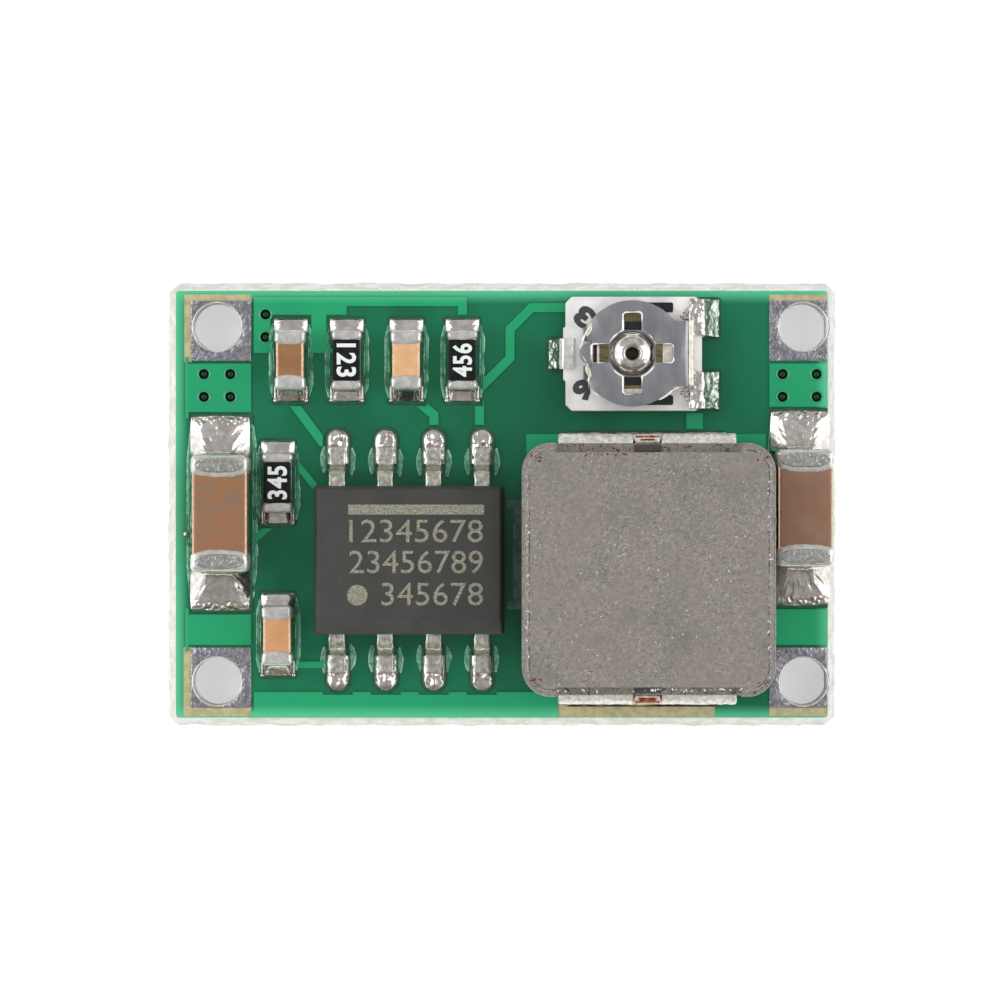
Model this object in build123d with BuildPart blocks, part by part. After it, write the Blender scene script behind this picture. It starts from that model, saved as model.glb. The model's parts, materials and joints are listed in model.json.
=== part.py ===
from build123d import *

import os
from dataclasses import dataclass
from math import atan2, hypot, tan

# A small step-down converter board: a scored circuit board with four plated corner holes that
# carries a converter chip, a moulded inductor, an open trimmer and eight two-terminal chip parts.
# Sizes are in millimetres. The origin is the middle of the board's underside, +X runs from the
# input end to the output end, +Y towards the trimmer and +Z up.

# Board
board_thickness = 1.0
copper_step = 0.04
board_corner = 0.22
score_width = 0.25
score_depth = 0.3
mask_margin = 0.07
pour_isolation = 0.2
pour_edge_margin = 0.25

# Plated corner holes and their pads
hole_radius = 0.65
plating = 0.05
bond_gap = 0.01
left_hole_inset = 1.345
right_hole_inset = 0.895
hole_edge_inset = 1.21
corner_pad_inner = 0.9
corner_pad_outer = 0.69
right_pad_outer = 0.63

# Vias, which are a quarter of a millimetre across, so eight sides draw them
via_radius = 0.14
via_sides = 8
via_pitch_left = 0.7
via_pitch_right = 0.9
via_pitch_y = 0.6
via_gap = 1.25
right_via_shift = 0.1
side_via_gap = 0.38
side_via_rise = 0.33

# Two-terminal chip parts, large and small
large_chip_length = 3.08
large_chip_width = 1.52
large_chip_height = 1.4
large_chip_band = 0.52
large_pad_reach = 1.07
large_pad_width = 1.62
small_chip_length = 1.58
small_chip_width = 0.81
small_capacitor_height = 0.8
small_resistor_height = 0.42
small_capacitor_band = 0.36
small_resistor_band = 0.25
small_pad_reach = 0.35
small_pad_width = 0.94
pad_tuck = 0.3
end_cap_wall = 0.045
overcoat_thickness = 0.05
chip_edge_break = 0.06
solder_toe = 0.03
solder_climb = 0.7
solder_side_margin = 0.03
meniscus_share = 0.9

# Converter chip
chip_length = 5.0
chip_width = 3.94
chip_height = 1.55
chip_standoff = 0.1
chip_parting = 0.82
chip_draft = 8.0
chip_bevel = 0.36
lead_count = 4
lead_pitch = 1.27
lead_width = 0.42
lead_thickness = 0.2
lead_span = 6.0
lead_shoulder = 0.3
lead_foot = 0.58
lead_bend = 0.16
lead_anchor = 0.25
lead_pad_toe = 0.5
lead_pad_length = 1.3
lead_pad_width = 0.65
lead_solder_height = 0.13
lead_solder_draft = 35.0

# Moulded inductor
inductor_size = 6.6
inductor_height = 2.8
core_corner = 0.75
core_bevel = 0.14
core_standoff = 0.08
core_recess_width = 4.8
core_recess_depth = 0.25
core_ledge_height = 1.45
strap_width = 4.66
strap_thickness = 0.2
strap_proud = 0.25
strap_exit_height = 1.28
strap_bend = 0.2
strap_anchor = 0.35
strap_foot = 1.1
strap_notch_width = 0.75
strap_notch_depth = 0.55
winding_inner_radius = 1.1
winding_outer_radius = 2.3
winding_height = 1.4
winding_rise = 0.1
winding_clearance = 0.02
wire_width = 0.63
wire_thickness = 0.16
wire_proud = 0.2
wire_overlap = 0.1
inductor_pad_width = 4.2
inductor_pad_toe = 0.07

# Open trimmer, measured from its rotor's axis and from the board's top face
trimmer_width = 3.0
base_left_reach = 1.75
base_right_reach = 1.84
base_thickness = 0.65
base_corner = 0.16
base_ledge = 0.06
base_ledge_width = 1.4
terminal_sheet = 0.1
terminal_bend = 0.09
terminal_fold = 0.33
end_terminal_width = 0.98
end_terminal_gap = 0.92
wiper_terminal_width = 0.8
terminal_tuck = 0.6
track_thickness = 0.015
track_inner_radius = 0.85
track_outer_radius = 1.3
track_end_x = 1.07
track_end_y = 1.33
track_end_inner = 0.62
track_end_start = 0.3
eyelet_bore_radius = 0.21
eyelet_wall = 0.13
eyelet_flare_radius = 0.59
eyelet_flare_height = 0.3
eyelet_rim = 0.08
eyelet_crown_inner = 0.3
eyelet_crown_outer = 0.42
eyelet_throat = 0.1
eyelet_fit = 0.02
rotor_radius = 1.395
rotor_sheet = 0.08
rotor_running_gap = 0.04
rotor_lift = 0.16
rotor_leaf_gap = 0.1
rotor_fold_reach = 1.51
rotor_fold_half_width = 0.85
rotor_opening_radius = 0.66
slot_half_length = 1.08
slot_width = 0.52
rotor_flat_reach = 1.08
rotor_tongue_width = 0.56
finger_root = 0.75
finger_reach = 1.28
finger_width = 0.36
finger_spacing = 1.02
finger_running_gap = 0.02
finger_tip_length = 0.1
finger_tip_rise = 0.03
sheet_overlap = 0.1
trimmer_pad_reach = 0.4
trimmer_pad_margin = 0.04
trimmer_solder_height = 0.55

# Copper tracks and pours on the top face
track_width = 0.24
wide_track_width = 0.44
narrow_track_width = 0.18
track_overlap = 0.1
left_pour_margin = 0.15
bus_rise = 0.42
ground_pour_rise = 0.2
lead_track_bend = 0.42
lead_track_drop = 0.38
compensation_track_side = 0.25
compensation_track_jog = 0.3
feedback_track_side = 0.45
wiper_track_start = 0.3
wiper_track_side = 1.26
wiper_track_low = 0.07
wiper_track_high = 0.83
wiper_track_top = 1.4
sense_track_side = 1.67
output_pour_reach = 3.17
output_pour_rise = 1.2
enable_tail_side = 0.62
enable_tail_drop = 0.36
enable_track_side = 0.98
enable_track_rise = 0.6
enable_track_drop = 0.1

# Where the parts stand: the gaps between neighbours along the board, then across it
input_capacitor_inset = 0.715
small_part_gap = 0.315
resistor_chip_gap = 0.585
chip_inductor_gap = 0.45
inductor_capacitor_gap = 0.08
output_capacitor_inset = 0.155
trimmer_edge_gap = 0.44
trimmer_inductor_gap = 0.61
inductor_edge_gap = 0.65
trimmer_offset = 0.39
top_row_inset = 2.1
first_column_offset = 1.95
column_pitch = 1.48
middle_column_pitch = 1.58
chip_drop = 1.47
input_capacitor_drop = 0.24
output_capacitor_drop = 0.1
enable_resistor_rise = 0.57
bootstrap_capacitor_drop = 3.46

# The board is as long and as wide as its parts and the gaps between them
board_length = (
    input_capacitor_inset
    + large_chip_width
    + small_part_gap
    + small_chip_width
    + resistor_chip_gap
    + chip_length
    + chip_inductor_gap
    + inductor_size
    + inductor_capacitor_gap
    + large_chip_width
    + output_capacitor_inset
)
board_width = (
    trimmer_edge_gap
    + trimmer_width
    + trimmer_inductor_gap
    + 2 * strap_proud
    + inductor_size
    + inductor_edge_gap
)
right_edge = board_length / 2
left_edge = -right_edge
back_edge = board_width / 2
front_edge = -back_edge
laminate_low = copper_step
laminate_high = board_thickness - copper_step

left_hole_x = left_edge + left_hole_inset
right_hole_x = right_edge - right_hole_inset
back_hole_y = back_edge - hole_edge_inset
front_hole_y = -back_hole_y

input_capacitor_x = left_edge + input_capacitor_inset + large_chip_width / 2
enable_resistor_x = input_capacitor_x + large_chip_width / 2 + small_part_gap + small_chip_width / 2
chip_x = enable_resistor_x + small_chip_width / 2 + resistor_chip_gap + chip_length / 2
inductor_x = chip_x + chip_length / 2 + chip_inductor_gap + inductor_size / 2
output_capacitor_x = inductor_x + inductor_size / 2 + inductor_capacitor_gap + large_chip_width / 2
inductor_y = front_edge + inductor_edge_gap + strap_proud + inductor_size / 2
trimmer_x = inductor_x - trimmer_offset
trimmer_y = back_edge - trimmer_edge_gap - trimmer_width / 2
chip_y = -chip_drop
top_row_y = back_edge - top_row_inset
soft_start_x = left_hole_x + first_column_offset
compensation_resistor_x = soft_start_x + column_pitch
compensation_capacitor_x = compensation_resistor_x + middle_column_pitch
feedback_resistor_x = compensation_capacitor_x + column_pitch


@dataclass
class ChipSize:
    """A two-terminal chip part that lies along Y, and the pads that it stands on."""

    length: float
    width: float
    height: float
    band: float
    pad_reach: float
    pad_width: float


@dataclass
class Pad:
    """A tinned pad on the board's top face, by its middle and its size."""

    x: float
    y: float
    size_x: float
    size_y: float


large_capacitor = ChipSize(
    large_chip_length,
    large_chip_width,
    large_chip_height,
    large_chip_band,
    large_pad_reach,
    large_pad_width,
)
small_capacitor = ChipSize(
    small_chip_length,
    small_chip_width,
    small_capacitor_height,
    small_capacitor_band,
    small_pad_reach,
    small_pad_width,
)
small_resistor = ChipSize(
    small_chip_length,
    small_chip_width,
    small_resistor_height,
    small_resistor_band,
    small_pad_reach,
    small_pad_width,
)

capacitors = {
    "input_capacitor": (large_capacitor, input_capacitor_x, -input_capacitor_drop),
    "output_capacitor": (large_capacitor, output_capacitor_x, -output_capacitor_drop),
    "soft_start_capacitor": (small_capacitor, soft_start_x, top_row_y),
    "compensation_capacitor": (small_capacitor, compensation_capacitor_x, top_row_y),
    "bootstrap_capacitor": (small_capacitor, enable_resistor_x, -bootstrap_capacitor_drop),
}
resistors = {
    "compensation_resistor": (small_resistor, compensation_resistor_x, top_row_y),
    "feedback_resistor": (small_resistor, feedback_resistor_x, top_row_y),
    "enable_resistor": (small_resistor, enable_resistor_x, enable_resistor_rise),
}


def write_piece(builder, name):
    """Label a finished piece and write it as its own STEP file."""
    builder.part.label = name
    export_step(builder.part, f"parts/{name}.step")


def patch(x_low, x_high, y_low, y_high):
    """Add a rectangle between two corners to the sketch at hand."""
    with Locations(((x_low + x_high) / 2, (y_low + y_high) / 2)):
        Rectangle(x_high - x_low, y_high - y_low)


def copper_track(*points, width=track_width):
    """Add a copper track along a run of points to the sketch at hand."""
    with BuildLine() as route:
        Polyline(*points)
    trace(route.line, line_width=width)


def side_plane(x, y, z, facing):
    """A plane across X whose own X runs along +Y or -Y, and whose Y runs up."""
    return Plane(origin=(x, y, z), x_dir=(0, facing, 0), z_dir=(facing, 0, 0))


def corner_pad_span(hole_x, hole_y):
    """The low and high X and Y of the square pad round a corner hole."""
    outer_x = corner_pad_outer if hole_x < 0 else right_pad_outer
    if hole_x < 0:
        x_low, x_high = hole_x - outer_x, hole_x + corner_pad_inner
    else:
        x_low, x_high = hole_x - corner_pad_inner, hole_x + outer_x
    if hole_y < 0:
        y_low, y_high = hole_y - corner_pad_outer, hole_y + corner_pad_inner
    else:
        y_low, y_high = hole_y - corner_pad_inner, hole_y + corner_pad_outer
    return x_low, x_high, y_low, y_high


def corner_holes():
    """The four corner holes by the name of the terminal that each one is."""
    return {
        "input_ground_terminal": (left_hole_x, back_hole_y),
        "input_positive_terminal": (left_hole_x, front_hole_y),
        "output_ground_terminal": (right_hole_x, back_hole_y),
        "output_positive_terminal": (right_hole_x, front_hole_y),
    }


def via_places():
    """The middles of the ten vias: four under each upper corner pad, two beside the left one."""
    places = []
    row_y = back_hole_y - via_gap
    groups = ((left_hole_x, via_pitch_left), (right_hole_x - right_via_shift, via_pitch_right))
    for middle_x, pitch in groups:
        for side in (-1, 1):
            for row in (0, 1):
                places.append((middle_x + side * pitch / 2, row_y - row * via_pitch_y))
    for row in (0, 1):
        beside_x = left_hole_x + corner_pad_inner + side_via_gap
        places.append((beside_x, back_hole_y + side_via_rise - row * via_pitch_y))
    return places


def chip_pads(size, x, y):
    """The two pads under a two-terminal chip part."""
    far = size.length / 2 + size.pad_reach
    near = size.length / 2 - size.band - pad_tuck / 2
    middle, length = (far + near) / 2, far - near
    return [Pad(x, y + side * middle, size.pad_width, length) for side in (-1, 1)]


def lead_pads():
    """The pads under the converter chip's leads."""
    middle = lead_span / 2 + lead_pad_toe - lead_pad_length / 2
    return [
        Pad(x, chip_y + side * middle, lead_pad_width, lead_pad_length)
        for x in lead_columns()
        for side in (-1, 1)
    ]


def lead_columns():
    """The X of each column of leads."""
    first = chip_x - (lead_count - 1) * lead_pitch / 2
    return [first + index * lead_pitch for index in range(lead_count)]


def inductor_pads():
    """The two pads under the inductor's straps."""
    far = inductor_size / 2 + strap_proud + inductor_pad_toe
    near = far - strap_foot - strap_proud
    return [
        Pad(inductor_x, inductor_y + side * (far + near) / 2, inductor_pad_width, far - near)
        for side in (-1, 1)
    ]


def end_terminal_y(side):
    """The middle of an end terminal, above or below the rotor's axis."""
    return trimmer_y + side * (end_terminal_gap + end_terminal_width) / 2


def trimmer_pads():
    """The trimmer's wiper pad on the left and its two end pads on the right."""
    left_far = trimmer_x - base_left_reach - base_ledge - terminal_sheet - trimmer_pad_reach
    right_far = trimmer_x + base_right_reach + terminal_sheet + trimmer_pad_reach
    length = trimmer_pad_reach + terminal_sheet + terminal_tuck
    wiper_pad_width = wiper_terminal_width + 2 * trimmer_pad_margin
    end_pad_width = end_terminal_width + 2 * trimmer_pad_margin
    pads = [Pad(left_far + length / 2, trimmer_y, length, wiper_pad_width)]
    for side in (-1, 1):
        pads.append(Pad(right_far - length / 2, end_terminal_y(side), length, end_pad_width))
    return pads


def all_component_pads():
    """Every pad that a component stands on."""
    pads = lead_pads() + inductor_pads() + trimmer_pads()
    for size, x, y in list(capacitors.values()) + list(resistors.values()):
        pads += chip_pads(size, x, y)
    return pads


def draw_top_copper():
    """The pours and tracks that show through the mask on the top face."""
    left_pad_edge = left_hole_x + corner_pad_inner
    right_pad_edge = right_hole_x - corner_pad_inner
    row_pad_low = top_row_y - small_chip_length / 2 - small_pad_reach
    row_pad_high = top_row_y + small_chip_length / 2 + small_pad_reach
    lead_toe_high = chip_y + lead_span / 2 + lead_pad_toe
    lead_toe_low = chip_y - lead_span / 2 - lead_pad_toe
    columns = lead_columns()

    # Ground pour beside the input ground terminal, and the bus from it to the feedback resistor
    bus_y = row_pad_high + bus_rise
    patch(left_pad_edge, compensation_resistor_x, top_row_y + ground_pour_rise, bus_y + track_width / 2)
    copper_track(
        (compensation_resistor_x - track_overlap, bus_y),
        (feedback_resistor_x, bus_y),
        (feedback_resistor_x, row_pad_high - track_overlap),
    )

    # Soft-start capacitor to the first lead, compensation capacitor to the third
    copper_track(
        (soft_start_x, row_pad_low + track_overlap),
        (columns[0] - lead_track_bend, lead_toe_high - lead_track_drop),
        (columns[0], lead_toe_high - lead_track_drop),
    )
    copper_track(
        (compensation_capacitor_x + compensation_track_side, row_pad_low + track_overlap),
        (columns[2], row_pad_low - compensation_track_jog),
        (columns[2], lead_toe_high - track_overlap),
    )

    # Feedback node: down to the fourth lead and across to the trimmer's wiper
    feedback_track_x = feedback_resistor_x + feedback_track_side
    copper_track(
        (feedback_track_x, row_pad_low + track_overlap),
        (feedback_track_x, lead_toe_high - track_overlap),
    )
    wiper_track_x = feedback_resistor_x + wiper_track_side
    copper_track(
        (feedback_track_x - track_overlap, row_pad_low + wiper_track_start),
        (wiper_track_x, top_row_y + wiper_track_low),
        (wiper_track_x, top_row_y + wiper_track_high),
        (wiper_track_x + wiper_track_top - wiper_track_high, top_row_y + wiper_track_top),
        (trimmer_x - base_left_reach + track_overlap, top_row_y + wiper_track_top),
    )

    # Trimmer to the inductor's output end, and the output pour under the inductor
    inductor_back = inductor_y + inductor_size / 2 + strap_proud
    sense_track_x = trimmer_x + sense_track_side
    copper_track(
        (sense_track_x, trimmer_y - trimmer_width / 2 + track_overlap),
        (sense_track_x, inductor_back - strap_proud),
        width=wide_track_width,
    )
    pour_left = inductor_x - output_pour_reach
    pour_right = inductor_x + output_pour_reach
    patch(pour_left, pour_right, inductor_y + output_pour_rise, inductor_back)

    # Supply pour along the front edge, from the input positive terminal
    patch(left_pad_edge, inductor_x - strap_width / 2, front_edge + score_width, lead_toe_low)

    # Pours that join each large capacitor's pads to the corner terminals beside it
    pad_end = large_chip_length / 2 + large_pad_reach - track_overlap
    pour_end = back_hole_y - corner_pad_inner + track_overlap
    for low, high, drop in (
        (left_hole_x - corner_pad_outer - left_pour_margin, left_pad_edge, input_capacitor_drop),
        (right_pad_edge, right_hole_x + right_pad_outer, output_capacitor_drop),
    ):
        patch(low, high, pad_end - drop, pour_end)
        patch(low, high, -pour_end, -pad_end - drop)

    # Short tracks at the bootstrap capacitor and the enable resistor
    boot_y = -bootstrap_capacitor_drop - small_chip_length / 2
    copper_track((enable_resistor_x, boot_y), (columns[0], boot_y), width=narrow_track_width)
    tail_y = enable_resistor_rise - small_chip_length / 2 - small_pad_reach
    copper_track(
        (enable_resistor_x - track_overlap, tail_y + track_overlap),
        (enable_resistor_x - enable_tail_side, tail_y - enable_tail_drop),
        width=narrow_track_width,
    )
    copper_track(
        (enable_resistor_x + small_chip_width / 2, enable_resistor_rise + enable_track_rise),
        (enable_resistor_x + enable_track_side, enable_resistor_rise - enable_track_drop),
        width=narrow_track_width,
    )


def draw_pad_windows():
    """The openings in the top relief round every pad, cut from the sketch at hand."""
    for pad in all_component_pads():
        with Locations((pad.x, pad.y)):
            Rectangle(pad.size_x + 2 * mask_margin, pad.size_y + 2 * mask_margin, mode=Mode.SUBTRACT)
    for hole_x, hole_y in corner_holes().values():
        x_low, x_high, y_low, y_high = corner_pad_span(hole_x, hole_y)
        with Locations(((x_low + x_high) / 2, (y_low + y_high) / 2)):
            Rectangle(
                x_high - x_low + 2 * mask_margin,
                y_high - y_low + 2 * mask_margin,
                mode=Mode.SUBTRACT,
            )


def draw_bottom_windows():
    """The openings in the bottom pour round the corner pads, wider round the positive ones."""
    for name, (hole_x, hole_y) in corner_holes().items():
        margin = pour_isolation if "positive" in name else mask_margin
        x_low, x_high, y_low, y_high = corner_pad_span(hole_x, hole_y)
        with Locations(((x_low + x_high) / 2, (y_low + y_high) / 2)):
            Rectangle(x_high - x_low + 2 * margin, y_high - y_low + 2 * margin, mode=Mode.SUBTRACT)


def make_board():
    """The laminate with scored and snapped edges, raised copper on both faces and its holes."""
    with BuildPart() as board:
        with BuildSketch(Plane.XY.offset(laminate_low)) as outline:
            Rectangle(board_length, board_width)
            chamfer(outline.vertices(), board_corner)
        extrude(amount=laminate_high - laminate_low)
        for face in (board.faces().sort_by(Axis.Z)[0], board.faces().sort_by(Axis.Z)[-1]):
            chamfer(face.edges(), length=score_width, length2=score_depth, reference=face)
        with BuildSketch(Plane.XY.offset(laminate_high)):
            draw_top_copper()
            draw_pad_windows()
        extrude(amount=copper_step)
        with BuildSketch():
            Rectangle(
                board_length - 2 * score_width - 2 * pour_edge_margin,
                board_width - 2 * score_width - 2 * pour_edge_margin,
            )
            draw_bottom_windows()
        extrude(amount=copper_step)
        with BuildSketch():
            with Locations(*corner_holes().values()):
                Circle(hole_radius + plating + bond_gap)
            with Locations(*via_places()):
                RegularPolygon(via_radius, via_sides)
        extrude(amount=board_thickness, mode=Mode.SUBTRACT)
    write_piece(board, "printed_circuit_board")


def make_corner_terminals():
    """A square pad above and below each corner hole, joined by the hole's plated wall."""
    for name, (hole_x, hole_y) in corner_holes().items():
        with BuildPart() as terminal:
            for level in (0, laminate_high):
                with BuildSketch(Plane.XY.offset(level)):
                    patch(*corner_pad_span(hole_x, hole_y))
                extrude(amount=copper_step)
            with BuildSketch():
                with Locations((hole_x, hole_y)):
                    Circle(hole_radius + plating)
            extrude(amount=board_thickness)
            with BuildSketch():
                with Locations((hole_x, hole_y)):
                    Circle(hole_radius)
            extrude(amount=board_thickness, mode=Mode.SUBTRACT)
        write_piece(terminal, name)


def make_component_pads():
    """The flat tinned pads that the components are soldered to."""
    with BuildPart() as pads:
        with BuildSketch(Plane.XY.offset(laminate_high)):
            for pad in all_component_pads():
                with Locations((pad.x, pad.y)):
                    Rectangle(pad.size_x, pad.size_y)
        extrude(amount=copper_step)
    write_piece(pads, "component_pads")


def meniscus_middle(reach, height):
    """The middle point of a concave arc from the top of a wetted wall to the toe of its solder.

    The arc leaves the wall nearly upright, and never turns back into the wall or the pad.
    """
    rise = height - solder_toe
    turn = meniscus_share * min(atan2(reach, rise), atan2(rise, reach))
    chord = hypot(reach, rise)
    sagitta = chord / 2 * tan(turn / 2)
    return (reach / 2 - sagitta * rise / chord, (height + solder_toe) / 2 - sagitta * reach / chord)


def make_chip_solder(name, size, x, y):
    """A concave fillet of solder from each end cap out to the end of its pad."""
    height = size.height * solder_climb
    reach = size.pad_reach - solder_side_margin
    with BuildPart() as solder:
        for facing in (-1, 1):
            end = y + facing * size.length / 2
            with BuildSketch(side_plane(x, end, board_thickness, facing)):
                with BuildLine():
                    Polyline((reach, solder_toe), (reach, 0), (0, 0), (0, height))
                    ThreePointArc((0, height), meniscus_middle(reach, height), (reach, solder_toe))
                make_face()
            extrude(amount=size.width / 2 - solder_side_margin, both=True)
    write_piece(solder, f"{name}_solder")


def make_end_caps(name, size, x, y):
    """The two metal end caps, each a cup over an end of the ceramic."""
    with BuildPart() as caps:
        middle = size.length / 2 - size.band / 2
        with BuildSketch(Plane.XY.offset(board_thickness)):
            with Locations((x, y - middle), (x, y + middle)):
                Rectangle(size.width, size.band)
        extrude(amount=size.height)
        chamfer(caps.edges().filter_by(Axis.Y), chip_edge_break)
        with BuildSketch(Plane.XY.offset(board_thickness + end_cap_wall)):
            with Locations((x, y)):
                Rectangle(size.width - 2 * end_cap_wall, size.length - 2 * end_cap_wall)
        extrude(amount=size.height - 2 * end_cap_wall, mode=Mode.SUBTRACT)
    write_piece(caps, f"{name}_end_caps")


def make_capacitor(name, size, x, y):
    """A stacked ceramic block with broken edges in its two end caps."""
    with BuildPart() as ceramic:
        with BuildSketch(Plane.XY.offset(board_thickness + end_cap_wall)):
            with Locations((x, y)):
                Rectangle(size.width - 2 * end_cap_wall, size.length - 2 * end_cap_wall)
        extrude(amount=size.height - 2 * end_cap_wall)
        chamfer(ceramic.edges().filter_by(Axis.Y), chip_edge_break)
    write_piece(ceramic, f"{name}_ceramic")
    make_end_caps(name, size, x, y)
    make_chip_solder(name, size, x, y)


def make_resistor(name, size, x, y):
    """A flat substrate in two end caps, with a raised overcoat between them."""
    with BuildPart() as substrate:
        with BuildSketch(Plane.XY.offset(board_thickness + end_cap_wall)):
            with Locations((x, y)):
                Rectangle(size.width - 2 * end_cap_wall, size.length - 2 * end_cap_wall)
        extrude(amount=size.height - 2 * end_cap_wall)
    write_piece(substrate, f"{name}_substrate")
    with BuildPart() as overcoat:
        with BuildSketch(Plane.XY.offset(board_thickness + size.height - end_cap_wall)):
            with Locations((x, y)):
                Rectangle(size.width - 2 * end_cap_wall, size.length - 2 * size.band)
        extrude(amount=overcoat_thickness)
        chamfer(overcoat.faces().sort_by(Axis.Z)[-1].edges(), overcoat_thickness / 2)
    write_piece(overcoat, f"{name}_overcoat")
    make_end_caps(name, size, x, y)
    make_chip_solder(name, size, x, y)


def lead_centreline():
    """The corner points of a lead's centreline, out from the chip's middle and up from the board."""
    tip = lead_span / 2
    wall = chip_width / 2
    heel = tip - lead_foot
    return (
        (wall - lead_anchor, chip_parting),
        (wall + lead_shoulder, chip_parting),
        (heel, lead_thickness / 2),
        (tip, lead_thickness / 2),
    )


def make_chip():
    """The moulded body with drafted walls and a bevel along the first lead's side, and its leads."""
    with BuildPart() as body:
        parting = Plane.XY.offset(board_thickness + chip_parting)
        with BuildSketch(parting):
            with Locations((chip_x, chip_y)):
                Rectangle(chip_length, chip_width)
        extrude(amount=chip_height - chip_parting, taper=chip_draft)
        with BuildSketch(parting):
            with Locations((chip_x, chip_y)):
                Rectangle(chip_length, chip_width)
        extrude(amount=chip_standoff - chip_parting, taper=chip_draft)
        top = body.faces().sort_by(Axis.Z)[-1]
        chamfer(top.edges().sort_by(Axis.Y)[0], chip_bevel)
        with BuildSketch(parting.offset(-lead_thickness / 2)):
            with Locations(*[(x, chip_y) for x in lead_columns()]):
                Rectangle(lead_width, chip_width)
                Rectangle(lead_width, chip_width - 2 * lead_anchor, mode=Mode.SUBTRACT)
        extrude(amount=lead_thickness, mode=Mode.SUBTRACT)
    write_piece(body, "chip_body")

    with BuildPart() as leads:
        for x in lead_columns():
            for facing in (-1, 1):
                with BuildSketch(side_plane(x, chip_y, board_thickness, facing)):
                    with BuildLine() as centreline:
                        FilletPolyline(*lead_centreline(), radius=lead_bend)
                    trace(centreline.line, line_width=lead_thickness)
                extrude(amount=lead_width / 2, both=True)
    write_piece(leads, "chip_leads")

    tip = lead_span / 2
    heel = tip - lead_foot
    toe = tip + lead_pad_toe - solder_side_margin
    with BuildPart() as solder:
        with BuildSketch(Plane.XY.offset(board_thickness)):
            middle = (heel + toe) / 2
            with Locations(*[(x, chip_y + side * middle) for x in lead_columns() for side in (-1, 1)]):
                Rectangle(lead_pad_width - 2 * solder_side_margin, toe - heel)
        extrude(amount=lead_solder_height, taper=lead_solder_draft)
        with BuildSketch(Plane.XY.offset(board_thickness)):
            with Locations(*[(x, chip_y) for x in lead_columns()]):
                Rectangle(lead_width, lead_span)
        extrude(amount=lead_thickness, mode=Mode.SUBTRACT)
    write_piece(solder, "chip_solder")


def draw_strap():
    """Add an inductor strap's side view to the sketch: out of the core, down its wall and under it."""
    wall = inductor_size / 2
    centre_out = wall + strap_proud - strap_thickness / 2
    with BuildLine() as centreline:
        FilletPolyline(
            (wall - strap_anchor, strap_exit_height),
            (centre_out, strap_exit_height),
            (centre_out, strap_thickness / 2),
            (wall - strap_foot, strap_thickness / 2),
            radius=strap_bend,
        )
    trace(centreline.line, line_width=strap_thickness)


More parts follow.
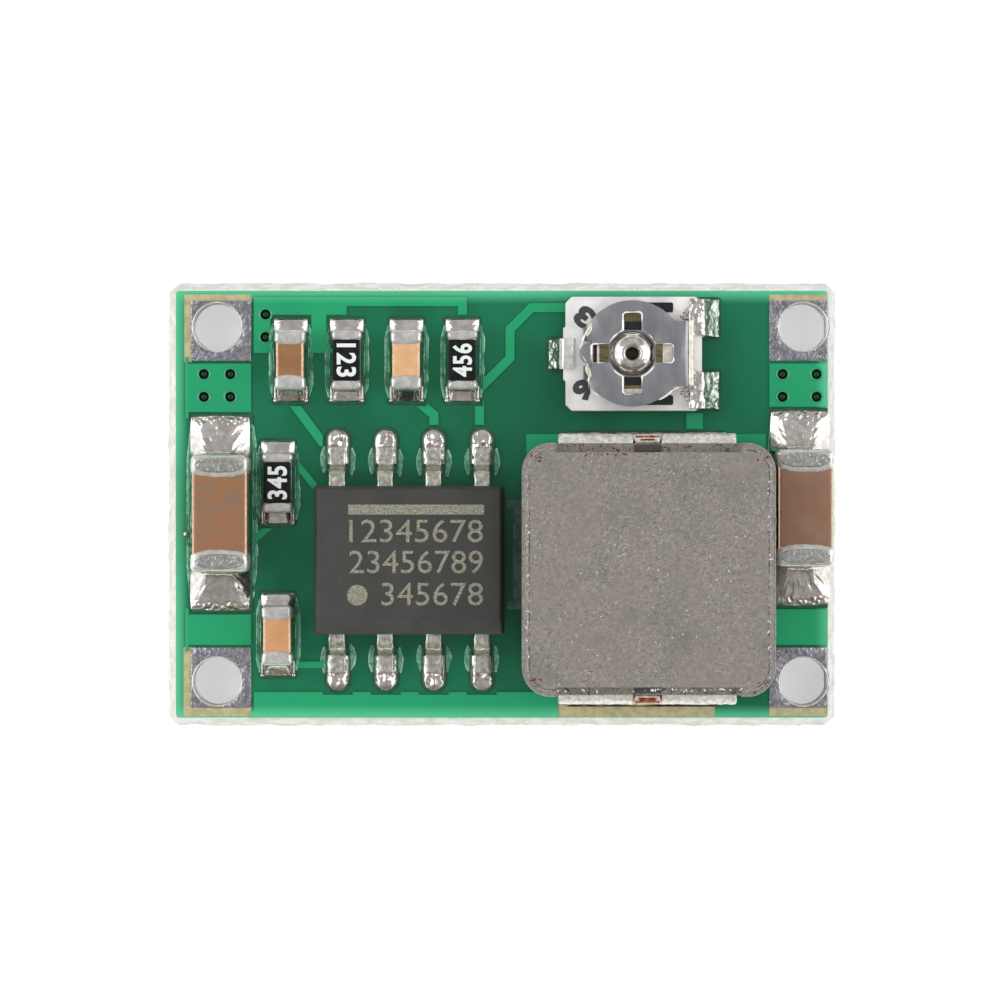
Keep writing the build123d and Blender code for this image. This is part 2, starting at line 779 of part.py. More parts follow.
def make_inductor():
    """The pressed core round its winding, with a strap folded down and under on each side."""
    wall = inductor_size / 2
    wire_exit = board_thickness + strap_exit_height
    winding_low = wire_exit - winding_height / 2 + winding_rise

    with BuildPart() as core:
        with BuildSketch(Plane.XY.offset(board_thickness + core_standoff)):
            with Locations((inductor_x, inductor_y)):
                RectangleRounded(inductor_size, inductor_size, core_corner)
        extrude(amount=inductor_height - core_standoff)
        chamfer(core.faces().sort_by(Axis.Z)[-1].edges(), core_bevel)
        with BuildSketch(Plane.XY.offset(board_thickness + core_ledge_height)):
            with Locations((inductor_x, inductor_y)):
                Rectangle(core_recess_width, inductor_size)
                Rectangle(core_recess_width, inductor_size - 2 * core_recess_depth, mode=Mode.SUBTRACT)
        extrude(amount=inductor_height, mode=Mode.SUBTRACT)
        with BuildSketch(Plane.XY.offset(wire_exit - strap_thickness / 2)):
            with Locations((inductor_x, inductor_y)):
                Rectangle(strap_width, inductor_size)
                Rectangle(strap_width, inductor_size - 2 * strap_anchor, mode=Mode.SUBTRACT)
        extrude(amount=strap_thickness, mode=Mode.SUBTRACT)
        with BuildSketch(Plane.XY.offset(board_thickness)):
            with Locations((inductor_x, inductor_y)):
                Rectangle(strap_width, inductor_size)
                Rectangle(strap_width, inductor_size - 2 * strap_foot, mode=Mode.SUBTRACT)
        extrude(amount=strap_thickness, mode=Mode.SUBTRACT)
        with BuildSketch(Plane.XY.offset(winding_low - winding_clearance)):
            with Locations((inductor_x, inductor_y)):
                Circle(winding_outer_radius + winding_clearance)
                Circle(winding_inner_radius - winding_clearance, mode=Mode.SUBTRACT)
        extrude(amount=winding_height + 2 * winding_clearance, mode=Mode.SUBTRACT)
        with BuildSketch(Plane.XY.offset(wire_exit - wire_thickness / 2 - winding_clearance)):
            with Locations((inductor_x, inductor_y)):
                Rectangle(wire_width + 2 * winding_clearance, inductor_size)
                Circle(winding_outer_radius, mode=Mode.SUBTRACT)
        extrude(amount=wire_thickness + 2 * winding_clearance, mode=Mode.SUBTRACT)
    write_piece(core, "inductor_core")

    with BuildPart() as winding:
        with BuildSketch(Plane.XY.offset(winding_low)):
            with Locations((inductor_x, inductor_y)):
                Circle(winding_outer_radius)
                Circle(winding_inner_radius, mode=Mode.SUBTRACT)
        extrude(amount=winding_height)
        with BuildSketch(Plane.XY.offset(wire_exit - wire_thickness / 2)):
            with Locations((inductor_x, inductor_y)):
                Rectangle(wire_width, inductor_size + 2 * wire_proud)
                Circle(winding_outer_radius - wire_overlap, mode=Mode.SUBTRACT)
        extrude(amount=wire_thickness)
    write_piece(winding, "inductor_winding")

    with BuildPart() as straps:
        for facing in (-1, 1):
            with BuildSketch(side_plane(inductor_x, inductor_y, board_thickness, facing)):
                draw_strap()
            extrude(amount=strap_width / 2, both=True)
        notch_floor = wire_exit + strap_thickness / 2 - strap_notch_depth
        with BuildSketch(Plane.XY.offset(notch_floor)):
            with Locations((inductor_x, inductor_y)):
                Rectangle(strap_notch_width, inductor_size + 4 * strap_proud)
        extrude(amount=strap_notch_depth, mode=Mode.SUBTRACT)
    write_piece(straps, "inductor_straps")

    with BuildPart() as solder:
        for facing in (-1, 1):
            outer = inductor_y + facing * (wall + strap_proud)
            with BuildSketch(side_plane(inductor_x, outer, board_thickness, facing)):
                with BuildLine():
                    Polyline((0, strap_bend + strap_thickness), (0, 0), (inductor_pad_toe, 0))
                    Line((inductor_pad_toe, 0), (0, strap_bend + strap_thickness))
                make_face()
            extrude(amount=inductor_pad_width / 2, both=True)
            with BuildSketch(side_plane(inductor_x, inductor_y, board_thickness, facing)):
                draw_strap()
            extrude(amount=strap_width / 2, both=True, mode=Mode.SUBTRACT)
    write_piece(solder, "inductor_solder")


def draw_wrapped_terminal(edge, tuck, way):
    """Add a terminal's side view to the sketch: under the base, up its edge and folded over its top.

    The edge is how far the base's wall is from the rotor's axis, and way is the side that it is on.
    The lower corner is square, and lies in the solder.
    """
    out = trimmer_x + way * (edge + terminal_sheet / 2)
    low = board_thickness + terminal_sheet / 2
    high = low + terminal_sheet + base_thickness
    with BuildLine() as centreline:
        Line((trimmer_x + way * (edge - tuck), low), (out, low))
        FilletPolyline(
            (out, low),
            (out, high),
            (trimmer_x + way * (edge - terminal_fold), high),
            radius=terminal_bend,
        )
    trace(centreline.line, line_width=terminal_sheet)


def make_trimmer_base():
    """The ceramic base with broken corners, a ledge under the wiper terminal and its hole."""
    with BuildPart() as base:
        with BuildSketch(Plane.XY.offset(board_thickness + terminal_sheet)):
            patch(
                trimmer_x - base_left_reach,
                trimmer_x + base_right_reach,
                trimmer_y - trimmer_width / 2,
                trimmer_y + trimmer_width / 2,
            )
        extrude(amount=base_thickness)
        chamfer(base.edges().filter_by(Axis.Z), base_corner)
        with BuildSketch(Plane.XY.offset(board_thickness + terminal_sheet)):
            patch(
                trimmer_x - base_left_reach - base_ledge,
                trimmer_x - base_left_reach,
                trimmer_y - base_ledge_width / 2,
                trimmer_y + base_ledge_width / 2,
            )
        extrude(amount=base_thickness)
        with BuildSketch(Plane.XY.offset(board_thickness)):
            with Locations((trimmer_x, trimmer_y)):
                Circle(eyelet_bore_radius + eyelet_wall + eyelet_fit)
        extrude(amount=2 * base_thickness, mode=Mode.SUBTRACT)
    write_piece(base, "trimmer_base")

    with BuildPart() as track:
        with BuildSketch(Plane.XY.offset(board_thickness + terminal_sheet + base_thickness)):
            with Locations((trimmer_x, trimmer_y)):
                Circle(track_outer_radius)
                Circle(track_inner_radius, mode=Mode.SUBTRACT)
            with Locations((trimmer_x + track_outer_radius, trimmer_y)):
                Rectangle(2 * track_outer_radius, 2 * track_end_inner, mode=Mode.SUBTRACT)
            for side in (-1, 1):
                low, high = sorted((side * track_end_inner, side * track_end_y))
                patch(
                    trimmer_x + track_end_start,
                    trimmer_x + track_end_x,
                    trimmer_y + low,
                    trimmer_y + high,
                )
        extrude(amount=track_thickness)
    write_piece(track, "trimmer_track")


def make_trimmer_terminals():
    """The wiper terminal with its flared eyelet, and the two end terminals."""
    base_top = board_thickness + terminal_sheet + base_thickness
    flare_low = base_top + rotor_lift + rotor_sheet + rotor_running_gap
    crown = flare_low + eyelet_flare_height
    tube_radius = eyelet_bore_radius + eyelet_wall
    with BuildPart() as wiper:
        with BuildSketch(Plane.XZ.offset(-trimmer_y)):
            draw_wrapped_terminal(base_left_reach + base_ledge, base_left_reach, -1)
        extrude(amount=wiper_terminal_width / 2, both=True)
        with BuildSketch(Plane.XY.offset(board_thickness)):
            with Locations((trimmer_x, trimmer_y)):
                Circle(wiper_terminal_width / 2)
        extrude(amount=terminal_sheet)
        with BuildSketch(Plane.XZ.offset(-trimmer_y)):
            with BuildLine():
                Polyline(
                    (trimmer_x, board_thickness),
                    (trimmer_x + tube_radius, board_thickness),
                    (trimmer_x + tube_radius, flare_low),
                    (trimmer_x + eyelet_flare_radius, flare_low),
                    (trimmer_x + eyelet_flare_radius, flare_low + eyelet_rim),
                    (trimmer_x + eyelet_crown_outer, crown),
                    (trimmer_x + eyelet_crown_inner, crown),
                    (trimmer_x + eyelet_bore_radius, crown - eyelet_throat),
                    (trimmer_x, crown - eyelet_throat),
                    close=True,
                )
            make_face()
        revolve(axis=Axis((trimmer_x, trimmer_y, 0), (0, 0, 1)))
        with BuildSketch(Plane.XY.offset(board_thickness)):
            with Locations((trimmer_x, trimmer_y)):
                Circle(eyelet_bore_radius)
        extrude(amount=2 * inductor_height, mode=Mode.SUBTRACT)
    write_piece(wiper, "trimmer_wiper_terminal")

    with BuildPart() as ends:
        for side in (-1, 1):
            with BuildSketch(Plane.XZ.offset(-end_terminal_y(side))):
                draw_wrapped_terminal(base_right_reach, terminal_tuck, 1)
            extrude(amount=end_terminal_width / 2, both=True)
    write_piece(ends, "trimmer_end_terminals")


def make_trimmer_solder():
    """Solder against the outer face of each trimmer terminal."""
    reach = trimmer_pad_reach - solder_side_margin
    left_wall = trimmer_x - base_left_reach - base_ledge - terminal_sheet
    right_wall = trimmer_x + base_right_reach + terminal_sheet
    places = [(left_wall, -1, trimmer_y, wiper_terminal_width)]
    places += [(right_wall, 1, end_terminal_y(side), end_terminal_width) for side in (-1, 1)]
    with BuildPart() as solder:
        for wall, way, y, width in places:
            with BuildSketch(Plane.XZ.offset(-y)):
                with BuildLine():
                    Polyline(
                        (wall + way * reach, board_thickness + solder_toe),
                        (wall + way * reach, board_thickness),
                        (wall, board_thickness),
                        (wall, board_thickness + trimmer_solder_height),
                    )
                    out, up = meniscus_middle(reach, trimmer_solder_height)
                    ThreePointArc(
                        (wall, board_thickness + trimmer_solder_height),
                        (wall + way * out, board_thickness + up),
                        (wall + way * reach, board_thickness + solder_toe),
                    )
                make_face()
            extrude(amount=width / 2, both=True)
        with BuildSketch(Plane.XZ.offset(-trimmer_y)):
            draw_wrapped_terminal(base_left_reach + base_ledge, base_left_reach, -1)
            draw_wrapped_terminal(base_right_reach, terminal_tuck, 1)
        extrude(amount=trimmer_width, both=True, mode=Mode.SUBTRACT)
    write_piece(solder, "trimmer_solder")


def make_trimmer_rotor():
    """One sheet folded double: a slotted disc above, and below it a leaf with two contact fingers."""
    base_top = board_thickness + terminal_sheet + base_thickness
    lower = base_top + rotor_lift
    upper = lower + rotor_sheet + rotor_leaf_gap
    fold_radius = (rotor_sheet + rotor_leaf_gap) / 2
    fold_start = rotor_fold_reach - fold_radius - rotor_sheet / 2
    contact = base_top + track_thickness + finger_running_gap + rotor_sheet / 2
    with BuildPart() as rotor:
        with BuildSketch(Plane.XY.offset(upper)):
            with Locations((trimmer_x, trimmer_y)):
                Circle(rotor_radius)
            patch(
                trimmer_x,
                trimmer_x + fold_start,
                trimmer_y - rotor_fold_half_width,
                trimmer_y + rotor_fold_half_width,
            )
            with Locations((trimmer_x - rotor_flat_reach - rotor_radius / 2, trimmer_y)):
                Rectangle(rotor_radius, 2 * rotor_radius, mode=Mode.SUBTRACT)
            patch(
                trimmer_x - rotor_flat_reach,
                trimmer_x - rotor_flat_reach + sheet_overlap,
                trimmer_y - rotor_tongue_width / 2,
                trimmer_y + rotor_tongue_width / 2,
            )
            with Locations((trimmer_x - rotor_radius + rotor_tongue_width / 2, trimmer_y)):
                Circle(rotor_tongue_width / 2)
            with Locations((trimmer_x, trimmer_y)):
                Rectangle(2 * slot_half_length, slot_width, mode=Mode.SUBTRACT)
                Rectangle(slot_width, 2 * slot_half_length, mode=Mode.SUBTRACT)
                Circle(rotor_opening_radius, mode=Mode.SUBTRACT)
        extrude(amount=rotor_sheet)
        with BuildSketch(Plane.XY.offset(lower)):
            patch(
                trimmer_x - finger_root,
                trimmer_x + fold_start,
                trimmer_y - rotor_fold_half_width,
                trimmer_y + rotor_fold_half_width,
            )
            with Locations((trimmer_x, trimmer_y)):
                Circle(eyelet_bore_radius + eyelet_wall + rotor_running_gap, mode=Mode.SUBTRACT)
        extrude(amount=rotor_sheet)
        with BuildSketch(Plane.XZ.offset(-trimmer_y)):
            with BuildLine() as fold:
                fold_x = trimmer_x + fold_start
                middle_low = lower + rotor_sheet / 2
                middle_high = upper + rotor_sheet / 2
                ThreePointArc(
                    (fold_x, middle_low),
                    (fold_x + fold_radius, (middle_low + middle_high) / 2),
                    (fold_x, middle_high),
                )
            trace(fold.line, line_width=rotor_sheet)
        extrude(amount=rotor_fold_half_width, both=True)
        for side in (-1, 1):
            with BuildSketch(Plane.XZ.offset(-trimmer_y - side * finger_spacing / 2)):
                with BuildLine() as finger:
                    Polyline(
                        (trimmer_x - finger_root + sheet_overlap, lower + rotor_sheet / 2),
                        (trimmer_x - finger_root, lower + rotor_sheet / 2),
                        (trimmer_x - finger_reach + finger_tip_length, contact),
                        (trimmer_x - finger_reach, contact + finger_tip_rise),
                    )
                trace(finger.line, line_width=rotor_sheet)
            extrude(amount=finger_width / 2, both=True)
    write_piece(rotor, "trimmer_rotor")


os.makedirs("parts", exist_ok=True)
make_board()
make_corner_terminals()
make_component_pads()
for part_name, (part_size, part_x, part_y) in capacitors.items():
    make_capacitor(part_name, part_size, part_x, part_y)
for part_name, (part_size, part_x, part_y) in resistors.items():
    make_resistor(part_name, part_size, part_x, part_y)
make_chip()
make_inductor()
make_trimmer_base()
make_trimmer_terminals()
make_trimmer_solder()
make_trimmer_rotor()
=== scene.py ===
"""Looks of a small step-down converter module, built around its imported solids.

The solids fix every place and size. This script gives them their surfaces: a glossy
mask on a snapped board, levelled tin, crinkled solder, a moulded chip, a pressed
inductor and an open trimmer that turns. Shapes are made in millimetres and finished
in metres.
"""

import json
import logging
import math
from dataclasses import dataclass
from enum import Enum
from functools import cache
from typing import Callable, Iterable, Mapping, Sequence

import bmesh
import bpy
import numpy as np
from mathutils import Euler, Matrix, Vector, noise


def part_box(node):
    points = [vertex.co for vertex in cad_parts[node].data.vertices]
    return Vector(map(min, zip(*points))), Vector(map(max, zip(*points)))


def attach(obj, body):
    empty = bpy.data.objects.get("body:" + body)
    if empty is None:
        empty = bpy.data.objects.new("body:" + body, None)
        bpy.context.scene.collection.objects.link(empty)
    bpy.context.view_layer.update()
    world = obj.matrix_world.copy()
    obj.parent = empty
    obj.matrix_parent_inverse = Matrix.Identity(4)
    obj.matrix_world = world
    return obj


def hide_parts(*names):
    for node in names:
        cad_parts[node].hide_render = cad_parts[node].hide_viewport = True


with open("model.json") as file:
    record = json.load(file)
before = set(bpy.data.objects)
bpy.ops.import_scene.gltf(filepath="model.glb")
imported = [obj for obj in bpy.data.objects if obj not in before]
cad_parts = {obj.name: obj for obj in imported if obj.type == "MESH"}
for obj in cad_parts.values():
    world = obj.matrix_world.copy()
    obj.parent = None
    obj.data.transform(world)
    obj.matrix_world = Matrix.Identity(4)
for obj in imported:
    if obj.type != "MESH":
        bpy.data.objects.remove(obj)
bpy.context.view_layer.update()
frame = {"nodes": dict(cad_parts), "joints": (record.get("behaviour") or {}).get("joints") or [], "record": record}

Spot = tuple[float, float, float]
"""A place, or three measures."""
Range = Sequence[float]
"""Where something starts and ends along an axis."""
Tree = bpy.types.NodeTree
Node = bpy.types.Node
Socket = bpy.types.NodeSocket

LOG = logging.getLogger("converter_module")
MM = 0.001
"""Metres in a millimetre."""
WELD = 2e-4
"""Distance within which corners of a copied solid are one, in millimetres."""
LETTER_THICKNESS = 0.012
"""Thickness of a printed digit, in millimetres."""
CRISP = 35.0
"""Degrees past which an edge of a machined or moulded piece stays crisp."""
SOFT = 180.0
"""Degrees that leave no edge crisp, for molten, torn and grown pieces."""


class Body(Enum):
    """The two bodies that pieces ride on."""

    BOARD = "board_assembly"
    ROTOR = "rotor"


class End(Enum):
    """An end of a part that lies along Y, as the sign of its direction."""

    TOP = 1
    BOTTOM = -1

    def face(self, span: "Span") -> float:
        """Gives the Y of a box's face at this end."""
        return (span.high if self is End.TOP else span.low).y


# Measures and shapes


@dataclass(frozen=True)
class Span:
    """The box of a solid, in millimetres."""

    low: Vector
    high: Vector

    @classmethod
    @cache
    def of(cls, node: str) -> "Span":
        """Measures a solid of the frame, once."""
        low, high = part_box(node)
        return cls(Vector(low) / MM, Vector(high) / MM)

    @property
    def middle(self) -> Vector:
        """The centre of the box."""
        return (self.low + self.high) / 2

    @property
    def size(self) -> Vector:
        """The lengths of the box along X, Y and Z."""
        return self.high - self.low


BOARD = "printed_circuit_board"
BOARD_TOP = Span.of("component_pads").high.z
"""Height of the pads, in millimetres."""
MASK_END = Span.of(BOARD).high.x - 0.25
"""How far along X a pad may reach before the board's scored edge, in millimetres."""


def within(value: float, low: float, high: float) -> float:
    """Holds a value between two others."""
    return max(low, min(high, value))


def about(middle: float, half: float) -> Range:
    """Gives the range that reaches as far to both sides of a middle."""
    return middle - half, middle + half


def wander(point: Sequence[float], size: float, seed: int = 0) -> float:
    """Smooth noise of about -1 to 1.

    Args:
        point: Where to read it, in millimetres.
        size: Width of one bump, in millimetres.
        seed: Picks one of many noise fields.

    Returns:
        The height of the noise there.
    """
    where = Vector(point) / size + Vector((seed * 17.3, seed * -9.1, seed * 5.7))
    return noise.noise(where)


def linked(name: str, data: bpy.types.ID) -> bpy.types.Object:
    """Puts a mesh, a curve, a lamp or a camera into the scene.

    Args:
        name: Name of the object.
        data: What it holds.

    Returns:
        The object.
    """
    holder = bpy.data.objects.new(name, data)
    bpy.context.scene.collection.objects.link(holder)
    return holder


@dataclass
class Shape:
    """A closed surface that is being made, in millimetres.

    Attributes:
        points: Corner places, one row each.
        faces: Corner numbers of each face.
    """

    points: np.ndarray
    faces: list[tuple[int, ...]]

    def mesh(self) -> bpy.types.Mesh:
        """Makes a working mesh of the shape.

        Returns:
            The mesh, in millimetres.
        """
        mesh = bpy.data.meshes.new("workshop")
        mesh.from_pydata(self.points.tolist(), [], self.faces)
        return mesh

    def warped(self, rule: Callable[[Vector], Vector]) -> "Shape":
        """Moves every corner by a rule that gives its new place from its old one."""
        points = [tuple(rule(Vector(point))) for point in self.points]
        return Shape(np.array(points, float), self.faces)

    def placed(self, turn: float, place: Sequence[float]) -> "Shape":
        """Turns the shape round the origin by some degrees, then moves it to a place."""
        spin = np.array(Euler((0, 0, math.radians(turn))).to_matrix())
        return Shape(self.points @ spin.T + np.array(place), self.faces)

    def reworked(self, work: Callable[[bmesh.types.BMesh], object]) -> "Shape":
        """Runs an edit on the shape as an editable mesh.

        Args:
            work: Changes the mesh in place.

        Returns:
            The changed shape.
        """
        mesh = self.mesh()
        edit = bmesh.new()
        edit.from_mesh(mesh)
        bpy.data.meshes.remove(mesh)
        work(edit)
        edit.verts.index_update()
        points = np.array([vertex.co[:] for vertex in edit.verts], float)
        faces = [tuple(vertex.index for vertex in face.verts) for face in edit.faces]
        edit.free()
        return Shape(points, faces)

    def outward(self) -> "Shape":
        """Turns every face of a closed shape outwards."""
        return self.reworked(
            lambda edit: bmesh.ops.recalc_face_normals(edit, faces=edit.faces[:])
        )

    def merged(self, reach: float) -> "Shape":
        """Makes corners that lie within a distance of each other one."""
        return self.reworked(
            lambda edit: bmesh.ops.remove_doubles(edit, verts=edit.verts[:], dist=reach)
        )

    def eased(self, width: float, steps: int = 2, angle: float = 28.0) -> "Shape":
        """Rounds the sharp edges.

        Args:
            width: How far the rounding reaches from an edge, in millimetres.
            steps: Faces across the rounding.
            angle: Edges that turn by more than this many degrees are rounded.

        Returns:
            The rounded shape.
        """

        def work(edit: bmesh.types.BMesh) -> None:
            """Merges flat faces and bevels what is sharp.

            Args:
                edit: The mesh, which is changed in place.
            """
            flat = math.radians(0.6)
            bmesh.ops.dissolve_limit(
                edit, angle_limit=flat, verts=edit.verts[:], edges=edit.edges[:]
            )
            sharp = [
                edge for edge in edit.edges
                if len(edge.link_faces) == 2 and edge.calc_face_angle(0.0) > math.radians(angle)
            ]
            bmesh.ops.bevel(
                edit, geom=sharp, offset=width, segments=steps, profile=0.5, affect="EDGES",
                clamp_overlap=True,
            )
            bmesh.ops.triangulate(edit, faces=[f for f in edit.faces if len(f.verts) > 4])

        return self.reworked(work)

    def roughened(self, height: float, size: float, seed: int = 0) -> "Shape":
        """Pushes the surface in and out by smooth noise.

        Args:
            height: Largest push, in millimetres.
            size: Width of one bump, in millimetres.
            seed: Picks the noise field.

        Returns:
            The rough shape.
        """
        mesh = self.mesh()
        mesh.update()
        normals = np.zeros(len(mesh.vertices) * 3, np.float32)
        mesh.vertices.foreach_get("normal", normals)
        bpy.data.meshes.remove(mesh)
        push = np.array([wander(point, size, seed) for point in self.points])
        return Shape(self.points + normals.reshape(-1, 3) * push[:, None] * height, self.faces)

    def reskinned(self, voxel: float) -> "Shape":
        """Gives the shape an even skin of small faces, which rounds its edges a little.

        Args:
            voxel: Width of a face, in millimetres.

        Returns:
            The shape with its new skin.
        """
        holder = linked("workshop", self.mesh())
        modifier = holder.modifiers.new("skin", "REMESH")
        modifier.mode = "VOXEL"
        modifier.voxel_size = voxel
        return taken(holder)

    def islands(self) -> list[Span]:
        """Measures the separate solids of the shape.

        Returns:
            Their boxes, in order along X and Y.
        """
        group = list(range(len(self.points)))

        def root(number: int) -> int:
            """Finds the corner that stands for the solid of another.

            Args:
                number: The other corner.

            Returns:
                The number of the solid's own corner.
            """
            while group[number] != number:
                group[number] = group[group[number]]
                number = group[number]
            return number

        for face in self.faces:
            for corner in face[1:]:
                group[root(corner)] = root(face[0])
        solids: dict[int, list[np.ndarray]] = {}
        for number, point in enumerate(self.points):
            solids.setdefault(root(number), []).append(point)
        boxes = ((np.min(spots, axis=0), np.max(spots, axis=0)) for spots in solids.values())
        spans = [Span(Vector(low), Vector(high)) for low, high in boxes]
        return sorted(spans, key=lambda span: (round(span.low.x, 2), round(span.low.y, 2)))


def taken(holder: bpy.types.Object) -> Shape:
    """Turns an object with live modifiers into a plain shape and removes the object.

    Args:
        holder: The object, in millimetres.

    Returns:
        Its final surface.
    """
    bpy.context.view_layer.update()
    depsgraph = bpy.context.evaluated_depsgraph_get()
    mesh = bpy.data.meshes.new_from_object(holder.evaluated_get(depsgraph))
    holder.modifiers.clear()
    points = np.zeros(len(mesh.vertices) * 3, np.float32)
    mesh.vertices.foreach_get("co", points)
    faces = [tuple(face.vertices) for face in mesh.polygons]
    data = holder.data
    bpy.data.objects.remove(holder)
    bpy.data.meshes.remove(mesh)
    owner = bpy.data.meshes if isinstance(data, bpy.types.Mesh) else bpy.data.curves
    owner.remove(data)
    return Shape(points.reshape(-1, 3).astype(float), faces)


def joined(shapes: Iterable[Shape]) -> Shape:
    """Puts any number of shapes into one.

    Args:
        shapes: The shapes, in order.

    Returns:
        All of them.
    """
    corners, faces, shift = [], [], 0
    for part in shapes:
        corners.append(part.points)
        faces += [tuple(corner + shift for corner in face) for face in part.faces]
        shift += len(part.points)
    return Shape(np.vstack(corners), faces)


def copied(node: str) -> Shape:
    """Copies a solid of the frame, with its loose triangles joined.

    Args:
        node: Name of the solid.

    Returns:
        Its surface in millimetres.
    """
    mesh = frame["nodes"][node].data
    points = np.array([vertex.co[:] for vertex in mesh.vertices], float) / MM
    return Shape(points, [tuple(face.vertices) for face in mesh.polygons]).merged(WELD)


def lump(x: Range, y: Range, z: Range, radius: float, spacing: float) -> Shape:
    """A block with round edges and a fine, even skin that can be warped.

    Args:
        x: Its range along X, in millimetres.
        y: Its range along Y.
        z: Its range along Z.
        radius: Radius of its edges.
        spacing: Distance between corners of the skin.

    Returns:
        The block.
    """
    low, high = (Vector(corner) for corner in zip(x, y, z))
    middle, half = (low + high) / 2, (high - low) / 2
    radius = min(radius, *half)
    steps = [max(2, round(2 * length / spacing)) for length in half]
    index: dict[tuple[int, ...], int] = {}
    points: list[Spot] = []

    def corner(place: tuple[int, ...]) -> int:
        """Numbers a corner of the skin, and makes it when it is new.

        Args:
            place: Its step along X, Y and Z.

        Returns:
            Its number.
        """
        if place not in index:
            raw = Vector((2 * place[a] / steps[a] - 1) * half[a] for a in range(3))
            core = Vector(within(raw[a], radius - half[a], half[a] - radius) for a in range(3))
            away = raw - core
            if away.length > 1e-9:
                raw = core + away.normalized() * radius
            index[place] = len(points)
            points.append(tuple(middle + raw))
        return index[place]

    faces = []
    for axis in range(3):
        u, v = (axis + 1) % 3, (axis + 2) % 3
        for side in (0, steps[axis]):
            for i in range(steps[u]):
                for j in range(steps[v]):
                    ring = []
                    for du, dv in ((0, 0), (1, 0), (1, 1), (0, 1)):
                        place = [0, 0, 0]
                        place[axis], place[u], place[v] = side, i + du, j + dv
                        ring.append(corner(tuple(place)))
                    faces.append(tuple(ring if side else reversed(ring)))
    return Shape(np.array(points, float), faces)


def relief(rule: Callable[[float, float], Spot], floor: float, across: int, along: int) -> Shape:
    """A closed patch with a free upper surface and a flat underside.

    Args:
        rule: Gives a place of the upper surface from u in -1 to 1 and v in 0 to 1.
        floor: Height of the underside, in millimetres.
        across: Steps in u.
        along: Steps in v.

    Returns:
        The patch.
    """
    upper = [
        rule(2 * i / across - 1, j / along) for j in range(along + 1) for i in range(across + 1)
    ]
    lower = [(x, y, floor) for x, y, _ in upper]
    row, count = across + 1, len(upper)
    faces: list[tuple[int, ...]] = []
    for j in range(along):
        for i in range(across):
            a = j * row + i
            faces.append((a, a + 1, a + row + 1, a + row))
            faces.append((count + a, count + a + row, count + a + row + 1, count + a + 1))
    border = list(range(across))
    border += [j * row + across for j in range(along)]
    border += [along * row + i for i in range(across, 0, -1)]
    border += [j * row for j in range(along, 0, -1)]
    faces += [(b, a, count + a, count + b) for a, b in zip(border, border[1:] + border[:1])]
    return Shape(np.array(upper + lower, float), faces).outward()


def swept(sections: Sequence[Sequence[Spot]]) -> Shape:
    """Joins closed sections into a closed ring.

    Args:
        sections: The corners of each section, as many in each.

    Returns:
        The ring.
    """
    count, row = len(sections), len(sections[0])
    faces = []
    for i in range(count):
        ahead = (i + 1) % count
        for j in range(row):
            up = (j + 1) % row
            faces.append((i * row + j, ahead * row + j, ahead * row + up, i * row + up))
    points = [corner for section in sections for corner in section]
    return Shape(np.array(points, float), faces).outward()


def lathe(profile: Sequence[tuple[float, float]], middle: Sequence[float], steps: int) -> Shape:
    """Turns a closed profile round an upright axis.

    Args:
        profile: Distances from the axis and heights, in order round the profile.
        middle: X and Y of the axis.
        steps: Faces round the axis.

    Returns:
        The ring.
    """
    angles = [math.tau * turn / steps for turn in range(steps)]
    return swept([
        [
            (middle[0] + reach * math.cos(angle), middle[1] + reach * math.sin(angle), height)
            for reach, height in profile
        ]
        for angle in angles
    ])


def plate(outline: Sequence[tuple[float, float]], low: float, high: float) -> Shape:
    """A flat plate.

    Args:
        outline: Its corners in order, in millimetres.
        low: Height of its underside.
        high: Height of its top.

    Returns:
        The plate.
    """
    count = len(outline)
    points = [(x, y, z) for z in (low, high) for x, y in outline]
    faces: list[tuple[int, ...]] = [tuple(range(count)), tuple(range(count, 2 * count))]
    faces += [(i, (i + 1) % count, count + (i + 1) % count, count + i) for i in range(count)]
    return Shape(np.array(points, float), faces).outward()


def bar(x: Range, y: Range, z: Range) -> Shape:
    """A plain block from its ranges along X, Y and Z, in millimetres."""
    return plate([(x[0], y[0]), (x[1], y[0]), (x[1], y[1]), (x[0], y[1])], *z)


def lettering(
    text: str, width: float, height: float, middle: Sequence[float], turn: float = 0.0,
    weight: float = 0.0,
) -> Shape:
    """Printed digits as thin plates.

    Args:
        text: What is printed.
        width: Width of the whole row, in millimetres.
        height: Height of a digit.
        middle: Where the centre of the printing lies.
        turn: Degrees that it is turned by.
        weight: How much the strokes are thickened, in millimetres.

    Returns:
        The plates.
    """
    curve = bpy.data.curves.new("printing", "FONT")
    curve.body = text
    curve.size = 1.0
    curve.extrude = 0.01
    curve.offset = weight / height * 0.7
    curve.space_character = 1.0 + 2.2 * weight / height
    curve.resolution_u = 3
    flat = taken(linked("printing", curve))
    points = flat.points
    low, high = points.min(0), points.max(0)
    points -= (low + high) / 2
    points[:, 1] *= height / (high[1] - low[1])
    points[:, 0] *= width / (high[0] - low[0])
    points[:, 2] *= LETTER_THICKNESS / 0.02
    return Shape(points, flat.faces).placed(turn, middle).merged(1e-5)


def round_corners(span: Span, grow: float, radius: float) -> list[tuple[float, float]]:
    """Draws the outline of a box with round corners.

    Args:
        span: The box.
        grow: How far the outline stands off it.
        radius: Radius of the corners.

    Returns:
        The outline's corners in order.
    """
    half_x, half_y = span.size.x / 2 + grow, span.size.y / 2 + grow
    radius = min(radius, half_x - 0.001, half_y - 0.001)
    outline = []
    for quarter, (sx, sy) in enumerate(((1, 1), (-1, 1), (-1, -1), (1, -1))):
        x, y = span.middle.x + sx * (half_x - radius), span.middle.y + sy * (half_y - radius)
        for step in range(7):
            angle = math.pi / 2 * (quarter + step / 6)
            outline.append((x + radius * math.cos(angle), y + radius * math.sin(angle)))
    return outline


